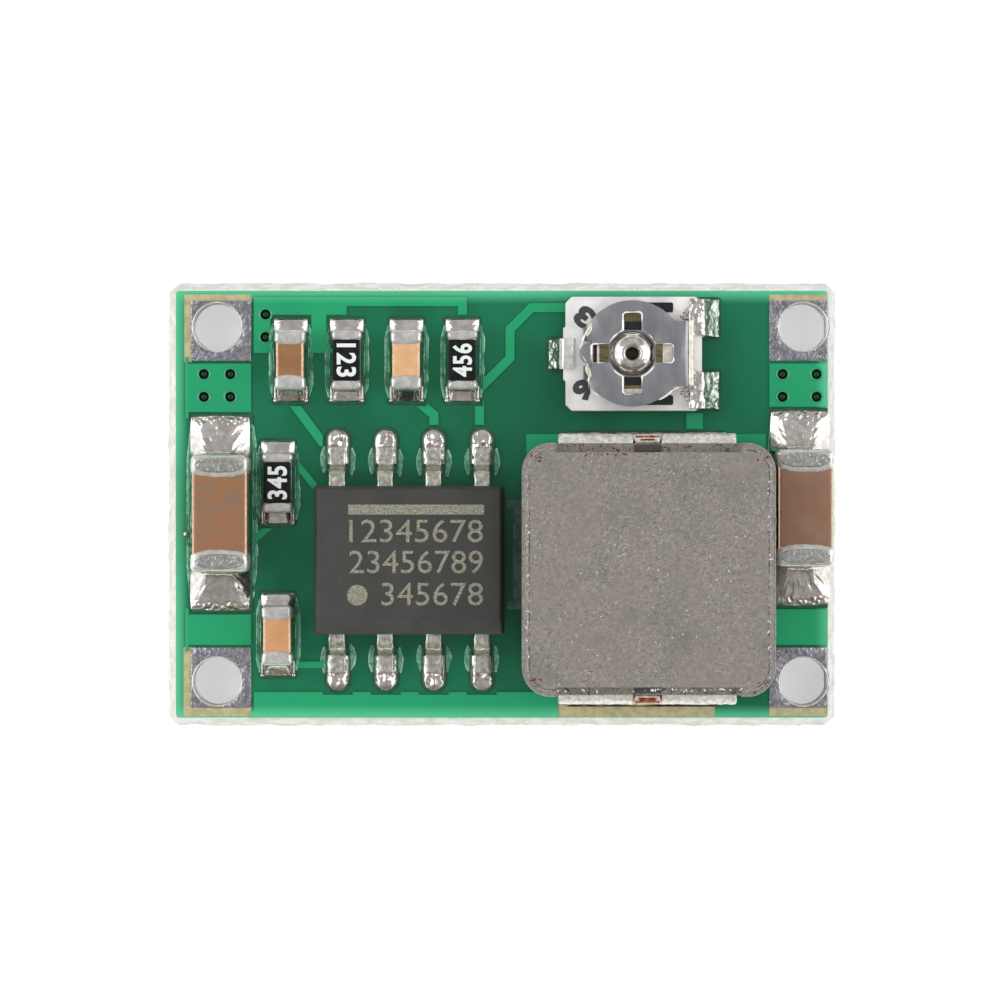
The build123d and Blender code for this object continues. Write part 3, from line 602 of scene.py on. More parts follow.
def finished(
    name: str, shape: Shape, finish: "Finish", rides: Body = Body.BOARD, stands_for: str = "",
    sharp: float = CRISP,
) -> None:
    """Makes a shape a finished piece, sets it on the body that it rides on, and hides any solid that it stands
    for.

    Args:
        name: Name of the piece.
        shape: Its surface.
        finish: What it is finished in.
        rides: The body that it moves with.
        stands_for: The solid of the frame that it is shown in place of, if any.
        sharp: Edges that turn by more than this many degrees stay crisp.
    """
    mesh = bpy.data.meshes.new(name)
    mesh.from_pydata((shape.points * MM).tolist(), [], shape.faces)
    mesh.update()
    mesh.polygons.foreach_set("use_smooth", [True] * len(mesh.polygons))
    mesh.set_sharp_from_angle(angle=math.radians(sharp))
    mesh.materials.append(finish.material())
    piece = linked(name, mesh)
    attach(piece, rides.value)
    if stands_for:
        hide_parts(stands_for)
    LOG.info("%s: %d faces, rides on %s", name, len(mesh.polygons), rides.value)


# Finishes


def linear(code: str) -> tuple[float, ...]:
    """Turns an sRGB hex colour to linear.

    Args:
        code: Six hex digits.

    Returns:
        Linear red, green and blue, and full opacity.
    """
    parts = [int(code[i : i + 2], 16) / 255 for i in (0, 2, 4)]
    return *(p / 12.92 if p <= 0.04045 else ((p + 0.055) / 1.055) ** 2.4 for p in parts), 1.0


def add(
    tree: Tree, kind: str,
    inputs: Mapping[str | int, object] | Sequence[object] = (), **settings: object,
) -> Node:
    """Adds a node with its settings and links.

    Args:
        tree: The tree that it goes in.
        kind: The node's type.
        inputs: What its inputs read, by name or number or in order: a value, an output, or
            a node, whose first output in use is read.
        settings: Values of its properties, which are set first.

    Returns:
        The node.
    """
    node = tree.nodes.new(kind)
    for key, value in settings.items():
        setattr(node, key, value)
    for key, value in inputs.items() if isinstance(inputs, Mapping) else enumerate(inputs):
        if isinstance(value, Node):
            value = next(socket for socket in value.outputs if socket.enabled)
        if isinstance(value, Socket):
            tree.links.new(value, node.inputs[key])
        else:
            node.inputs[key].default_value = value
    return node


MATH = "ShaderNodeMath"
VECTORS = "ShaderNodeVectorMath"
NOISE = "ShaderNodeTexNoise"
MIX = "ShaderNodeMix"
RANGE = "ShaderNodeMapRange"
MOTTLED = (0.34, 0.66)
"""Noise between which a mottle goes from none to full."""
PATCHY = (0.35, 0.65)
"""Noise between which wear and roughness go from low to high."""
SMOOTH = {"interpolation_type": "SMOOTHSTEP"}
"""Settings of a range that is mapped smoothly: its inputs are value, from and to."""
COLOURS = {"data_type": "RGBA"}
"""Settings of a mix of colours: its inputs are 0, the share, and 6 and 7, the colours."""
Layer = tuple[Node, str]
"""A coat of colour: the node that gives its share, and its sRGB hex."""


@dataclass
class Canvas:
    """What a finish paints on.

    Attributes:
        tree: The material's tree.
        scaled: Place in millimetres, shrunk along the grain.
        even: Place in millimetres.
    """

    tree: Tree
    scaled: Node
    even: Node


@dataclass(frozen=True)
class Finish:
    """A real finish, as tone, mottle, specks, grain and gloss.

    Sizes are real ones in millimetres.

    Attributes:
        name: Name of the material.
        slot: The record's material slot; not used.
        tone: Main colour, as sRGB hex.
        other: Colour of the mottle.
        mottle: Width of the mottle's patches.
        mottle_share: How strongly the mottle shows.
        metallic: 1 for a metal.
        roughness: Roughness of the surface.
        rough_range: How far the roughness wanders.
        ior: Index of refraction where it isn't a metal.
        grain: Width of the surface's bumps.
        grain_height: Their height.
        stretch: How many times longer than wide a bump is along X, Y and Z.
        speck: Colour of scattered specks, as sRGB hex.
        speck_size: Width of a speck.
        speck_share: Share of the surface with specks, 0 to 1.
        coat: Strength of a clear coat.
    """

    name: str
    slot: str
    tone: str
    other: str = ""
    mottle: float = 0.4
    mottle_share: float = 1.0
    metallic: float = 0.0
    roughness: float = 0.5
    rough_range: float = 0.0
    ior: float = 1.5
    grain: float = 0.0
    grain_height: float = 0.0
    stretch: Spot = (1.0, 1.0, 1.0)
    speck: str = ""
    speck_size: float = 0.03
    speck_share: float = 0.1
    coat: float = 0.0

    def material(self) -> bpy.types.Material:
        """Gives the material, which is made once.

        Returns:
            The material.
        """
        known = bpy.data.materials.get(self.name)
        if known is not None:
            return known
        material = bpy.data.materials.new(self.name)
        material.use_nodes = True
        tree = material.node_tree
        tree.nodes.clear()
        place = add(tree, "ShaderNodeTexCoord").outputs["Object"]
        per_axis = tuple(1 / MM / step for step in self.stretch)
        scaled = add(tree, VECTORS, [place, per_axis], operation="MULTIPLY")
        even = add(tree, VECTORS, {0: place, "Scale": 1 / MM}, operation="SCALE")
        canvas = Canvas(tree, scaled, even)
        colour: Node | tuple[float, ...] = linear(self.tone)
        for share, code in self.layers(canvas):
            colour = add(tree, MIX, {0: share, 6: colour, 7: linear(code)}, **COLOURS)
        shader = add(tree, "ShaderNodeBsdfPrincipled", {
            "Base Color": colour, "Metallic": self.metallic, "Roughness": self.roughness,
            "Coat Weight": self.coat, "Coat Roughness": 0.12,
        })
        if not self.metallic:
            shader.inputs["IOR"].default_value = self.ior
        self.gloss(canvas, shader)
        add(tree, "ShaderNodeOutputMaterial", {"Surface": shader})
        return material

    def layers(self, canvas: Canvas) -> list[Layer]:
        """Paints mottle and specks over the main colour.

        Args:
            canvas: What they are painted on.

        Returns:
            The layers, in order.
        """
        tree, layers = canvas.tree, []
        if self.other:
            patches = {"Vector": canvas.scaled, "Scale": 1 / self.mottle, "Detail": 3.0}
            reach = [add(tree, NOISE, patches), *MOTTLED, 0.0, self.mottle_share]
            layers.append((add(tree, RANGE, reach, **SMOOTH), self.other))
        if self.speck:
            specks = {"Vector": canvas.even, "Scale": 1 / self.speck_size, "Detail": 1.0}
            edge = 0.80 - 0.36 * self.speck_share
            reach = [add(tree, NOISE, specks), edge, edge + 0.04]
            layers.append((add(tree, RANGE, reach, **SMOOTH), self.speck))
        return layers

    def gloss(self, canvas: Canvas, shader: Node) -> None:
        """Lets the roughness wander and gives the surface its grain.

        Args:
            canvas: What it is painted on.
            shader: The shader that takes both.
        """
        tree = canvas.tree
        if self.rough_range:
            patches = {"Vector": canvas.scaled, "Scale": 1 / (self.mottle * 0.6), "Detail": 3.0}
            low, high = self.roughness - self.rough_range, self.roughness + self.rough_range
            reach = [add(tree, NOISE, patches), *PATCHY, low, high]
            wandering = add(tree, RANGE, reach, **SMOOTH)
            tree.links.new(wandering.outputs[0], shader.inputs["Roughness"])
        if self.grain:
            grains = {"Vector": canvas.scaled, "Scale": 1 / self.grain, "Detail": 3.0}
            bump = add(tree, "ShaderNodeBump", {
                "Strength": 1.0, "Distance": self.grain_height * MM,
                "Height": add(tree, NOISE, grains),
            })
            tree.links.new(bump.outputs[0], shader.inputs["Normal"])


MASK_HALF_X = 8.62
"""Half length of the masked face, in millimetres."""
MASK_HALF_Y = 5.645
"""Half width of the masked face, in millimetres."""


@dataclass(frozen=True)
class MaskFinish(Finish):
    """Glossy green solder mask, which is lighter where copper lies under it.

    Attributes:
        over_copper: Colour over copper.
        edge_tone: Colour along the board's edge, where light comes in through the laminate.
        copper_height: Height that parts the two on the upper face.
        height_blur: Half of the height over which the one turns to the other.
        edge_width: Width of the light edge.
        edge_share: How strongly the light edge shows.
        weave: Width of the patches that the laminate gives the mask.
        sheen_level: Strength of its mirror shine, as the shader's specular level.
    """

    over_copper: str = "259E6A"
    edge_tone: str = "5CC996"
    copper_height: float = 0.98
    height_blur: float = 0.012
    edge_width: float = 0.38
    edge_share: float = 0.8
    weave: float = 2.5
    sheen_level: float = 0.25

    def layers(self, canvas: Canvas) -> list[Layer]:
        """Paints the mask by height and by distance from the edge.

        Args:
            canvas: What it is painted on.

        Returns:
            The layers, in order.
        """
        tree, blur = canvas.tree, self.height_blur
        axes = add(tree, "ShaderNodeSeparateXYZ", [canvas.even]).outputs
        rise = [axes[2], self.copper_height - blur, self.copper_height + blur]
        upper = add(tree, RANGE, rise, **SMOOTH)
        lower = add(tree, RANGE, [axes[2], 0.012, 0.03, 1, 0], **SMOOTH)
        copper = add(tree, MATH, [upper, lower], operation="MAXIMUM")
        cloud = add(tree, NOISE, {"Vector": canvas.even, "Scale": 1 / self.weave, "Detail": 2.0})
        laminate = add(tree, RANGE, [cloud, 0.4, 0.6], **SMOOTH)
        layers = [(laminate, self.other), (copper, self.over_copper)]
        for axis, half in ((axes[0], MASK_HALF_X), (axes[1], MASK_HALF_Y)):
            away = add(tree, MATH, [axis], operation="ABSOLUTE")
            near_edge = [away, half - self.edge_width, half, 0, self.edge_share]
            layers.append((add(tree, RANGE, near_edge, **SMOOTH), self.edge_tone))
        return layers

    def gloss(self, canvas: Canvas, shader: Node) -> None:
        """Weakens the mirror shine, then finishes the surface as any other."""
        shader.inputs["Specular IOR Level"].default_value = self.sheen_level
        super().gloss(canvas, shader)


@dataclass(frozen=True)
class ScratchedFinish(Finish):
    """A surface crossed by short fine scratches, some rubbed pale and some dark with dirt.

    Attributes:
        pale: Colour of a pale scratch.
        dark: Colour of a dark one.
        length: Length of a scratch, in millimetres.
        width: Its width.
        faint: How far the many faint scratches cover what is under them.
        strong: How far the few strong ones do.
        smudge: Width of a smudge of dirt.
        smudge_share: How dark it is.
        worn: Width of the patches with more scratches.
        turns: Directions of the layers of scratches, in degrees, pale and dark by turns.
    """

    pale: str = "ACA79F"
    dark: str = "56534F"
    length: float = 0.22
    width: float = 0.04
    faint: float = 0.52
    strong: float = 0.9
    smudge: float = 1.3
    smudge_share: float = 0.28
    worn: float = 1.1
    turns: tuple[float, ...] = (14, 3, 71, 98, -38, 152, 118, -17)

    def layers(self, canvas: Canvas) -> list[Layer]:
        """Draws smudges and scratches over the mottle.

        Args:
            canvas: What they are drawn on.

        Returns:
            The layers, in order.
        """
        tree, even, layers = canvas.tree, canvas.even, super().layers(canvas)
        cloud = add(tree, NOISE, {"Vector": even, "Scale": 1 / self.smudge, "Detail": 5.0})
        share = add(tree, RANGE, [cloud, 0.48, 0.75, 0.0, self.smudge_share], **SMOOTH)
        layers.append((share, self.dark))
        cover = add(tree, NOISE, {"Vector": even, "Scale": 1 / self.worn, "Detail": 2.0})
        patchy = add(tree, RANGE, [cover, *PATCHY, 0.3, 1.0], **SMOOTH)
        shape = (1 / self.length, 1 / self.width, 1 / self.width)
        for number, turn in enumerate(self.turns):
            lane = add(tree, "ShaderNodeMapping", {
                "Vector": even, "Location": (3.1 * number, 1.7 * number, 0.0),
                "Rotation": (0.0, 0.0, math.radians(turn)),
            })
            thin = add(tree, VECTORS, [lane, shape], operation="MULTIPLY")
            mark = add(tree, NOISE, {"Vector": thin, "Scale": 1.0, "Detail": 2.0})
            faint = add(tree, RANGE, [mark, 0.60, 0.70, 0.0, self.faint], **SMOOTH)
            strong = add(tree, RANGE, [mark, 0.68, 0.73, 0.0, self.strong], **SMOOTH)
            share = add(tree, MATH, [faint, strong], operation="ADD")
            share = add(tree, MATH, [share, patchy], operation="MULTIPLY")
            layers.append((share, self.dark if number % 2 else self.pale))
        return layers


FIRED = {"roughness": 0.32, "grain": 0.05, "grain_height": 0.001}
"""Surface of every fired capacitor body."""

# Photo-imaged solder mask: a clear green lacquer that shows what it covers.
SOLDER_MASK = MaskFinish(
    "solder_mask_lacquer", "solder_mask", "187350", "166848", roughness=0.25, grain=0.5,
    grain_height=0.002,
)
# The same lacquer where it sags round a via: a lighter, wet-looking lip.
MASK_LIP = Finish("sagged_mask_lip", "solder_mask", "1F9A66", roughness=0.1, coat=1.0)
# The lacquer that closes a via: near black, because light is lost in the hole under it.
VIA_PLUG = Finish("mask_plugged_via", "solder_mask", "0A2A1D", roughness=0.16)
# Snapped glass-fibre laminate: pale torn fibre ends in resin.
FIBRE_RIM = Finish(
    "snapped_glass_fibre", "solder_mask", "ECEFE9", "D0D7CC", mottle=0.16, mottle_share=0.8,
    roughness=0.7, grain=0.06, grain_height=0.008, stretch=(2.2, 2.2, 1.0), speck="FAFBF8",
    speck_size=0.07, speck_share=0.4,
)
# Bare laminate in an opening of the mask: beige resin with a satin shine.
BARE_LAMINATE = Finish(
    "bare_laminate", "solder_mask", "BDB58C", "A8A07A", mottle=0.2, roughness=0.5, grain=0.06,
    grain_height=0.003,
)
# Hot-air levelled tin: bright but uneven, with worm-like crinkles.
LEVELLED_TIN = Finish(
    "hot_air_levelled_tin", "tinned_copper", "BBBABF", "9695A0", mottle=0.12, metallic=1.0,
    roughness=0.22, rough_range=0.1, grain=0.11, grain_height=0.03, speck="F4F4F8",
    speck_size=0.07, speck_share=0.3,
)
# Tin of the small pads under brown dried flux: dull green, hardly a metal any more.
FLUXED_TIN = Finish(
    "fluxed_pad_tin", "tinned_copper", "2F6B50", "265A43", mottle=0.15, metallic=0.2,
    roughness=0.3, grain=0.12, grain_height=0.01,
)
# Laminate in the gap between a pad and the mask: a dark line round each pad.
PAD_BORDER = Finish(
    "pad_opening_border", "solder_mask", "2B5A41", "1D4430", mottle=0.5, roughness=0.4
)
# Fired body of the input capacitor: dense matt ceramic, warm and streaked.
CERAMIC_LARGE = Finish(
    "fired_ceramic_grey_brown", "capacitor_ceramic_large", "956745", "866A55", mottle=0.7,
    speck="B0917C", speck_size=0.09, speck_share=0.12, stretch=(1.0, 0.45, 1.0), **FIRED,
)
# The same ceramic from another firing: an even, duller brown.
CERAMIC_MAUVE = Finish(
    "fired_ceramic_mauve_brown", "capacitor_ceramic_large", "8F6F5C", "8A6650", mottle=0.6,
    speck="A58D7C", speck_size=0.06, speck_share=0.08, **FIRED,
)
# A small body of a high-capacity ceramic: plain brown.
CERAMIC_BROWN = Finish(
    "fired_ceramic_brown", "capacitor_ceramic_brown", "966B45", "8F633E", mottle=0.3, **FIRED
)
# A small body of a stable ceramic: light and sandy.
CERAMIC_TAN = Finish(
    "fired_ceramic_tan", "capacitor_ceramic_tan", "DFB183", "D6A778", mottle=0.3, **FIRED
)
# The stable ceramic fired a little longer: a deeper sand.
CERAMIC_DEEP_TAN = Finish(
    "fired_ceramic_deep_tan", "capacitor_ceramic_tan", "CE9A6C", "C79263", mottle=0.3, **FIRED
)
# Painted highlights along the edges of a fired body, where they catch the lamps: paler than its face.
CERAMIC_EDGE_HIGHLIGHT = Finish(
    "ceramic_edge_highlight", "capacitor_ceramic_large", "EFD0AD", "DDB48B", mottle=0.1
)
# Barrel-plated tin over fired silver: dull and near white, because its crystals scatter light.
END_CAP_TIN = Finish(
    "barrel_plated_tin", "end_cap_tin", "DEDDD8", "C6C5C0", mottle=0.2, metallic=0.65,
    roughness=0.3, rough_range=0.08, grain=0.16, grain_height=0.007,
)
# The thick middle of the same tin, which froze in bright pebbles.
PEBBLED_TIN = Finish(
    "pebbled_end_tin", "end_cap_tin", "D6D5D1", "B7B7B2", mottle=0.09, metallic=1.0,
    roughness=0.24, grain=0.08, grain_height=0.014,
)
# Reflowed solder: bright metal that froze in soft folds.
SOLDER = Finish(
    "reflowed_solder", "solder", "E8E3E0", "CCC6BE", mottle=0.2, metallic=1.0, roughness=0.17,
    rough_range=0.08, grain=0.12, grain_height=0.008,
)
# The same solder under a wash of flux: greyer, with a green cast.
FLUXED_SOLDER = Finish(
    "fluxed_solder", "solder", "BFC4BC", "8FA093", mottle=0.2, metallic=1.0, roughness=0.25,
    rough_range=0.08, grain=0.12, grain_height=0.008,
)
# Sintered alumina: chalk white with a faint shine.
ALUMINA = Finish("alumina_substrate", "substrate", "F0EFEB", roughness=0.45)
# Black glass printed over the resistor film: deep black, only a little glossy.
OVERCOAT = Finish(
    "black_glass_overcoat", "overcoat", "0C100E", "161A18", mottle=0.2, roughness=0.34,
    ior=1.32, grain=0.08, grain_height=0.002,
)
# Epoxy moulding compound: charcoal with a fine silica grain.
MOULDING = Finish(
    "epoxy_moulding_compound", "mould_compound", "3C3B39", "353634", mottle=0.8, roughness=0.6,
    grain=0.035, grain_height=0.004, speck="75756F", speck_size=0.028, speck_share=0.22,
)
# Laser marking: the burnt skin is lighter and rougher than the moulding.
LASER_MARK = Finish(
    "laser_marking", "mould_compound", "9C9A85", "6E6D63", mottle=0.05, roughness=0.75,
    grain=0.04, grain_height=0.006,
)
# Printing ink on the resistors: flat white, thick enough to hide the glass.
INK_WHITE = Finish("white_printing_ink", "overcoat", "E6EBE8", roughness=0.6)
# Printing ink on the trimmer: flat dark grey.
INK_GREY = Finish("grey_printing_ink", "trimmer_ceramic", "3E4342", roughness=0.6)
# White print, painted as a dull grey-green line for the shade that falls on it beside the chip.
SHADED_SILK_LINE = Finish(
    "shaded_print_line", "solder_mask", "64877A", "4C665C", mottle=0.15, roughness=0.45
)
# Plated tin on the bent leads: silvery and warm, with a soft uneven shine.
LEAD_TIN = Finish(
    "plated_lead_tin", "lead_tin", "E0DED3", "B7B4A8", mottle=0.12, metallic=1.0,
    roughness=0.36, rough_range=0.1, grain=0.1, grain_height=0.01,
)
# Pressed iron powder under a thin clear varnish: grey grit, crossed by handling scratches.
PRESSED_IRON = ScratchedFinish(
    "pressed_iron_powder", "pressed_iron", "88827A", "746F69", mottle=0.12, mottle_share=0.6,
    grain=0.06, grain_height=0.006, speck="A6A29A", speck_size=0.035, speck_share=0.3,
)
# The same powder, as pale grit on the top and as painted highlights and glints along the core's edges and on its
# ledges.
PALE_GRIT_AND_HIGHLIGHT = Finish(
    "pale_iron_grit_and_highlight", "pressed_iron", "ABA79E", "75706A", mottle=0.06, roughness=0.4
)
# Bare copper where the enamel is stripped: orange, browned in patches.
COPPER_WIRE = Finish(
    "bare_copper_wire", "copper_wire", "DE8E60", "A8502F", mottle=0.12, metallic=1.0,
    roughness=0.35,
)
# Dipped tin on the folded straps: cream white and crinkled, with dark pits.
STRAP_TIN = Finish(
    "crinkled_strap_tin", "strap_tin", "F5F2E9", "CFCCC2", mottle=0.12, metallic=0.35,
    roughness=0.36, rough_range=0.1, grain=0.1, grain_height=0.014, speck="6E6A62",
    speck_size=0.07, speck_share=0.12,
)
# Glazed ceramic of the trimmer's base: clean white with a satin shine.
GLAZED_CERAMIC = Finish(
    "white_trimmer_ceramic", "trimmer_ceramic", "F4F2F0", "DAD9D8", mottle=0.9, roughness=0.35,
    grain=0.2, grain_height=0.002,
)
# Fired resistive film: smooth, even black.
CERMET = Finish("cermet_film", "cermet", "1B1B1C", roughness=0.3)
# Rolled sheet of the rotor: satin grey with a grain along one way.
ROTOR_STEEL = Finish(
    "satin_sheet_steel", "rotor_steel", "A8AAAD", "9C9EA2", mottle=0.3, metallic=1.0,
    roughness=0.36, rough_range=0.04, grain=0.05, grain_height=0.003, stretch=(1.0, 3.0, 1.0),
    speck="D8D8DA",
)
# Plated terminal sheet: smooth, bright and a little warm.
PLATED_SHEET = Finish(
    "bright_plated_sheet", "terminal_plate", "F1EFE9", "D4D2CA", mottle=0.2, metallic=0.55,
    roughness=0.24, rough_range=0.07, grain=0.14, grain_height=0.008,
)
# Painted shade in the gaps of the contact spring in the rotor's slots: dark, because they are deep.
SPRING_GAP_SHADE = Finish("spring_gap", "rotor_steel", "171612", roughness=0.6)
# Painted half-light on the spring's steps: olive yellow-brown, between the shaded gaps and the lit leaves.
SPRING_HALF_LIT = Finish(
    "half_lit_spring_step", "rotor_steel", "8A8262", "6A6247", mottle=0.08, metallic=0.8,
    roughness=0.35, stretch=(6.0, 1.0, 1.0),
)
# Painted highlight on the spring's leaves, fold and petals, where the lamps reach: cream white.
SPRING_LIT = Finish(
    "lit_spring_leaf", "rotor_steel", "FBF8EE", "D8D2BE", mottle=0.2, metallic=0.35,
    roughness=0.3,
)
# Painted highlight on the sheet's edges: a white line where it catches the lamps.
SHEET_EDGE_HIGHLIGHT = Finish("sheet_edge_highlight", "rotor_steel", "FFFEFA", metallic=0.3, roughness=0.25)
# Polished plating on the flared lip: a mirror for the lamps.
POLISHED_LIP = Finish(
    "polished_flared_lip", "terminal_plate", "F2EFE9", "D5D0C5", mottle=0.15, metallic=1.0,
    roughness=0.12, grain=0.12, grain_height=0.001,
)
# Wide thin flux that only tints the mask.
FLUX_GLAZE = Finish(
    "thin_flux_glaze", "solder_mask", "4FA27E", "3D8E6A", mottle=0.15, roughness=0.15
)
# Thicker flux beside the leads: milky over the mask.
FLUX_POOL = Finish(
    "milky_flux_pool", "solder_mask", "7DB99C", "4F9474", mottle=0.12, roughness=0.2
)
# No-clean flux, which dries to a pale film with wrinkled edges.
FLUX_FILM = Finish(
    "dried_flux_film", "solder_mask", "A9D2BC", "5FA483", mottle=0.12, roughness=0.25
)
# Rust that bleeds from the core's pressed edges: dull red.
RUST = Finish("rust_bloom", "pressed_iron", "7A3A2C", "4E2620", mottle=0.08, roughness=0.8)
# Painted glints: tiny white grains on the iron where its powder catches the light.
PAINTED_GLINT = Finish("painted_iron_glint", "pressed_iron", "F1EFEA", metallic=0.5, roughness=0.35)
# Dirt in scuffs, and painted shade in a line inside the core's bevel, in the notches round the wire ends and in
# the eyelet's bore: flat dark grey.
DARK_SCUFF_AND_SHADE = Finish("dark_scuff_and_painted_shade", "pressed_iron", "4E4B47", roughness=0.7)


# Grown pieces


@dataclass
class Grown:
    """A piece that Geometry Nodes grow on a base shape.

    Attributes:
        name: Name of the piece and of its tree.
        finish: What it is finished in.
        sizes: Its named sizes, in millimetres or as plain numbers.
        seed: Fixes anything random.
    """

    name: str
    finish: Finish
    sizes: dict[str, float]
    seed: int = 1

    def grow(self, tree: Tree, base: Mapping[str, Socket]) -> Node:
        """Adds the nodes between the base and the realized result.

        Args:
            tree: The tree.
            base: The outputs that carry the base, as Geometry, and the named sizes.

        Returns:
            The node that gives the grown geometry.
        """
        raise NotImplementedError

    def build(
        self, points: Sequence[Sequence[float]], edges: Sequence[tuple[int, int]] = (),
        faces: Sequence[tuple[int, ...]] = (), rides: Body = Body.BOARD,
        rule: Callable[[Vector], Vector] = Vector,
    ) -> None:
        """Runs the tree on a base and finishes the piece.

        Args:
            points: Corners of the base, in millimetres.
            edges: Its edges, where it is made of lines.
            faces: Its faces, where it is a surface.
            rides: The body that the piece moves with.
            rule: Moves each corner of the result to its last place.
        """
        tree = bpy.data.node_groups.new(self.name, "GeometryNodeTree")
        face = tree.interface
        face.new_socket(name="Geometry", in_out="INPUT", socket_type="NodeSocketGeometry")
        sockets = {
            key: face.new_socket(name=key, in_out="INPUT", socket_type="NodeSocketFloat")
            for key in self.sizes
        }
        face.new_socket(name="Geometry", in_out="OUTPUT", socket_type="NodeSocketGeometry")
        inputs = add(tree, "NodeGroupInput").outputs
        made = self.grow(tree, inputs)
        solid = add(tree, "GeometryNodeRealizeInstances", [made])
        dress = {0: solid, "Material": self.finish.material()}
        add(tree, "NodeGroupOutput", [add(tree, "GeometryNodeSetMaterial", dress)])
        mesh = bpy.data.meshes.new(f"{self.name}_base")
        mesh.from_pydata([tuple(point) for point in points], list(edges), list(faces))
        mesh.update()
        holder = linked(f"{self.name}_base", mesh)
        modifier = holder.modifiers.new("grown", "NODES")
        modifier.node_group = tree
        for key, socket in sockets.items():
            modifier[socket.identifier] = float(self.sizes[key])
        shape = taken(holder).outward().warped(rule)
        finished(self.name, shape, self.finish, rides, sharp=SOFT)


@dataclass
class Rings(Grown):
    """A round wire ring at every point of the base, such as the sagged lip of a via."""

    def grow(self, tree: Tree, base: Mapping[str, Socket]) -> Node:
        """Sets a ring on each point.

        Args:
            tree: The tree.
            base: The base, and the sizes Radius and Wire.

        Returns:
            The node that gives the grown geometry.
        """
        circle = "GeometryNodeCurvePrimitiveCircle"
        loop = add(tree, circle, {"Resolution": 28, "Radius": base["Radius"]})
        wire = add(tree, circle, {"Resolution": 8, "Radius": base["Wire"]})
        ring = add(tree, "GeometryNodeCurveToMesh", [loop, wire])
        spots = add(tree, "GeometryNodeMeshToPoints", [base["Geometry"]])
        return add(tree, "GeometryNodeInstanceOnPoints", {"Points": spots, "Instance": ring})


@dataclass
class Ridges(Grown):
    """A wandering ridge along every line of the base, such as the edge of a flux film."""

    def grow(self, tree: Tree, base: Mapping[str, Socket]) -> Node:
        """Sweeps a ridge along the lines.

        Args:
            tree: The tree.
            base: The base, and the sizes Step, Thick, Sway and Patch.

        Returns:
            The node that gives the grown geometry.
        """
        line = add(tree, "GeometryNodeMeshToCurve", [base["Geometry"]])
        steps = {"Curve": line, "Length": base["Step"]}
        even = add(tree, "GeometryNodeResampleCurve", steps, mode="LENGTH")
        scale = add(tree, MATH, [1.0, base["Patch"]], operation="DIVIDE")
        place = add(tree, "GeometryNodeInputPosition")
        cloud = add(tree, NOISE, {"Vector": place, "Scale": scale, "Detail": 2.0})
        centred = add(tree, VECTORS, [cloud.outputs[1], (0.5, 0.5, 0.5)], operation="SUBTRACT")
        sway = add(tree, VECTORS, {0: centred, "Scale": base["Sway"]}, operation="SCALE")
        flat = add(tree, VECTORS, [sway, (1, 1, 0)], operation="MULTIPLY")
        bent = add(tree, "GeometryNodeSetPosition", {"Geometry": even, "Offset": flat})
        share = add(tree, RANGE, [cloud, 0.36, 0.62, 0.12, 1.0], **SMOOTH)
        thick = add(tree, MATH, [share, base["Thick"]], operation="MULTIPLY")
        profile = add(tree, "GeometryNodeCurvePrimitiveCircle", {"Resolution": 7, "Radius": 1.0})
        sized = add(tree, "GeometryNodeSetCurveRadius", {"Curve": bent, "Radius": thick})
        return add(tree, "GeometryNodeCurveToMesh", {
            "Curve": sized, "Profile Curve": profile, "Scale": thick, "Fill Caps": True,
        })


@dataclass
class Grains(Grown):
    """Small flat grains strewn over the base, such as painted glints, rust or grit."""

    def grow(self, tree: Tree, base: Mapping[str, Socket]) -> Node:
        """Strews the grains.

        Args:
            tree: The tree.
            base: The base, and the sizes Density, Small, Large and Flat.

        Returns:
            The node that gives the grown geometry.
        """
        spread = {"Mesh": base["Geometry"], "Density": base["Density"], "Seed": self.seed}
        spots = add(tree, "GeometryNodeDistributePointsOnFaces", spread).outputs
        size, long, turn = (
            add(
                tree, "FunctionNodeRandomValue", {2: low, 3: high, "Seed": self.seed + number},
                data_type="FLOAT",
            )
            for number, low, high in (
                (1, base["Small"], base["Large"]), (2, 1.0, 3.4), (3, 0.0, math.tau),
            )
        )
        length = add(tree, MATH, [size, long], operation="MULTIPLY")
        thin = add(tree, MATH, [size, base["Flat"]], operation="MULTIPLY")
        spin = add(tree, "ShaderNodeCombineXYZ", [0.0, 0.0, turn])
        return add(tree, "GeometryNodeInstanceOnPoints", {
            "Points": spots["Points"],
            "Instance": add(tree, "GeometryNodeMeshIcoSphere", {"Radius": 1.0, "Subdivisions": 1}),
            "Rotation": add(
                tree, "FunctionNodeRotateRotation", [spots["Rotation"], spin],
                rotation_space="LOCAL",
            ),
            "Scale": add(tree, "ShaderNodeCombineXYZ", [length, size, thin]),
        })


def lines(paths: Iterable[Sequence[Spot]]) -> tuple[list[Spot], list[tuple[int, int]]]:
    """Makes the corners and edges of open lines.

    Args:
        paths: The corners of each line, in order.

    Returns:
        All corners, and all edges between them.
    """
    points: list[Spot] = []
    edges: list[tuple[int, int]] = []
    for path in paths:
        first = len(points)
        points += list(path)
        edges += [(first + i, first + i + 1) for i in range(len(path) - 1)]
    return points, edges


def patch(x: Range, y: Range, z: float) -> list[Spot]:
    """Gives the corners of a flat patch from its ranges along X and Y and its height."""
    return [(x[0], y[0], z), (x[1], y[0], z), (x[1], y[1], z), (x[0], y[1], z)]


def strewn(
    name: str, finish: Finish, patches: Sequence[Sequence[Spot]], density: float, widths: Range,
    flat: float, seed: int,
) -> None:
    """Strews one kind of grain over flat patches.

    Args:
        name: Name of the piece.
        finish: What the grains are made of.
        patches: Corners of each patch, in order.
        density: Grains on a square millimetre.
        widths: Half width of the smallest and the largest grain, in millimetres.
        flat: Height of a grain as a share of its width.
        seed: Picks where they fall.
    """
    points = [corner for ring in patches for corner in ring]
    faces = [tuple(range(4 * i, 4 * i + 4)) for i in range(len(patches))]
    sizes = {"Density": density, "Small": widths[0], "Large": widths[1], "Flat": flat}
    Grains(name, finish, sizes, seed).build(points, faces=faces)


# Board


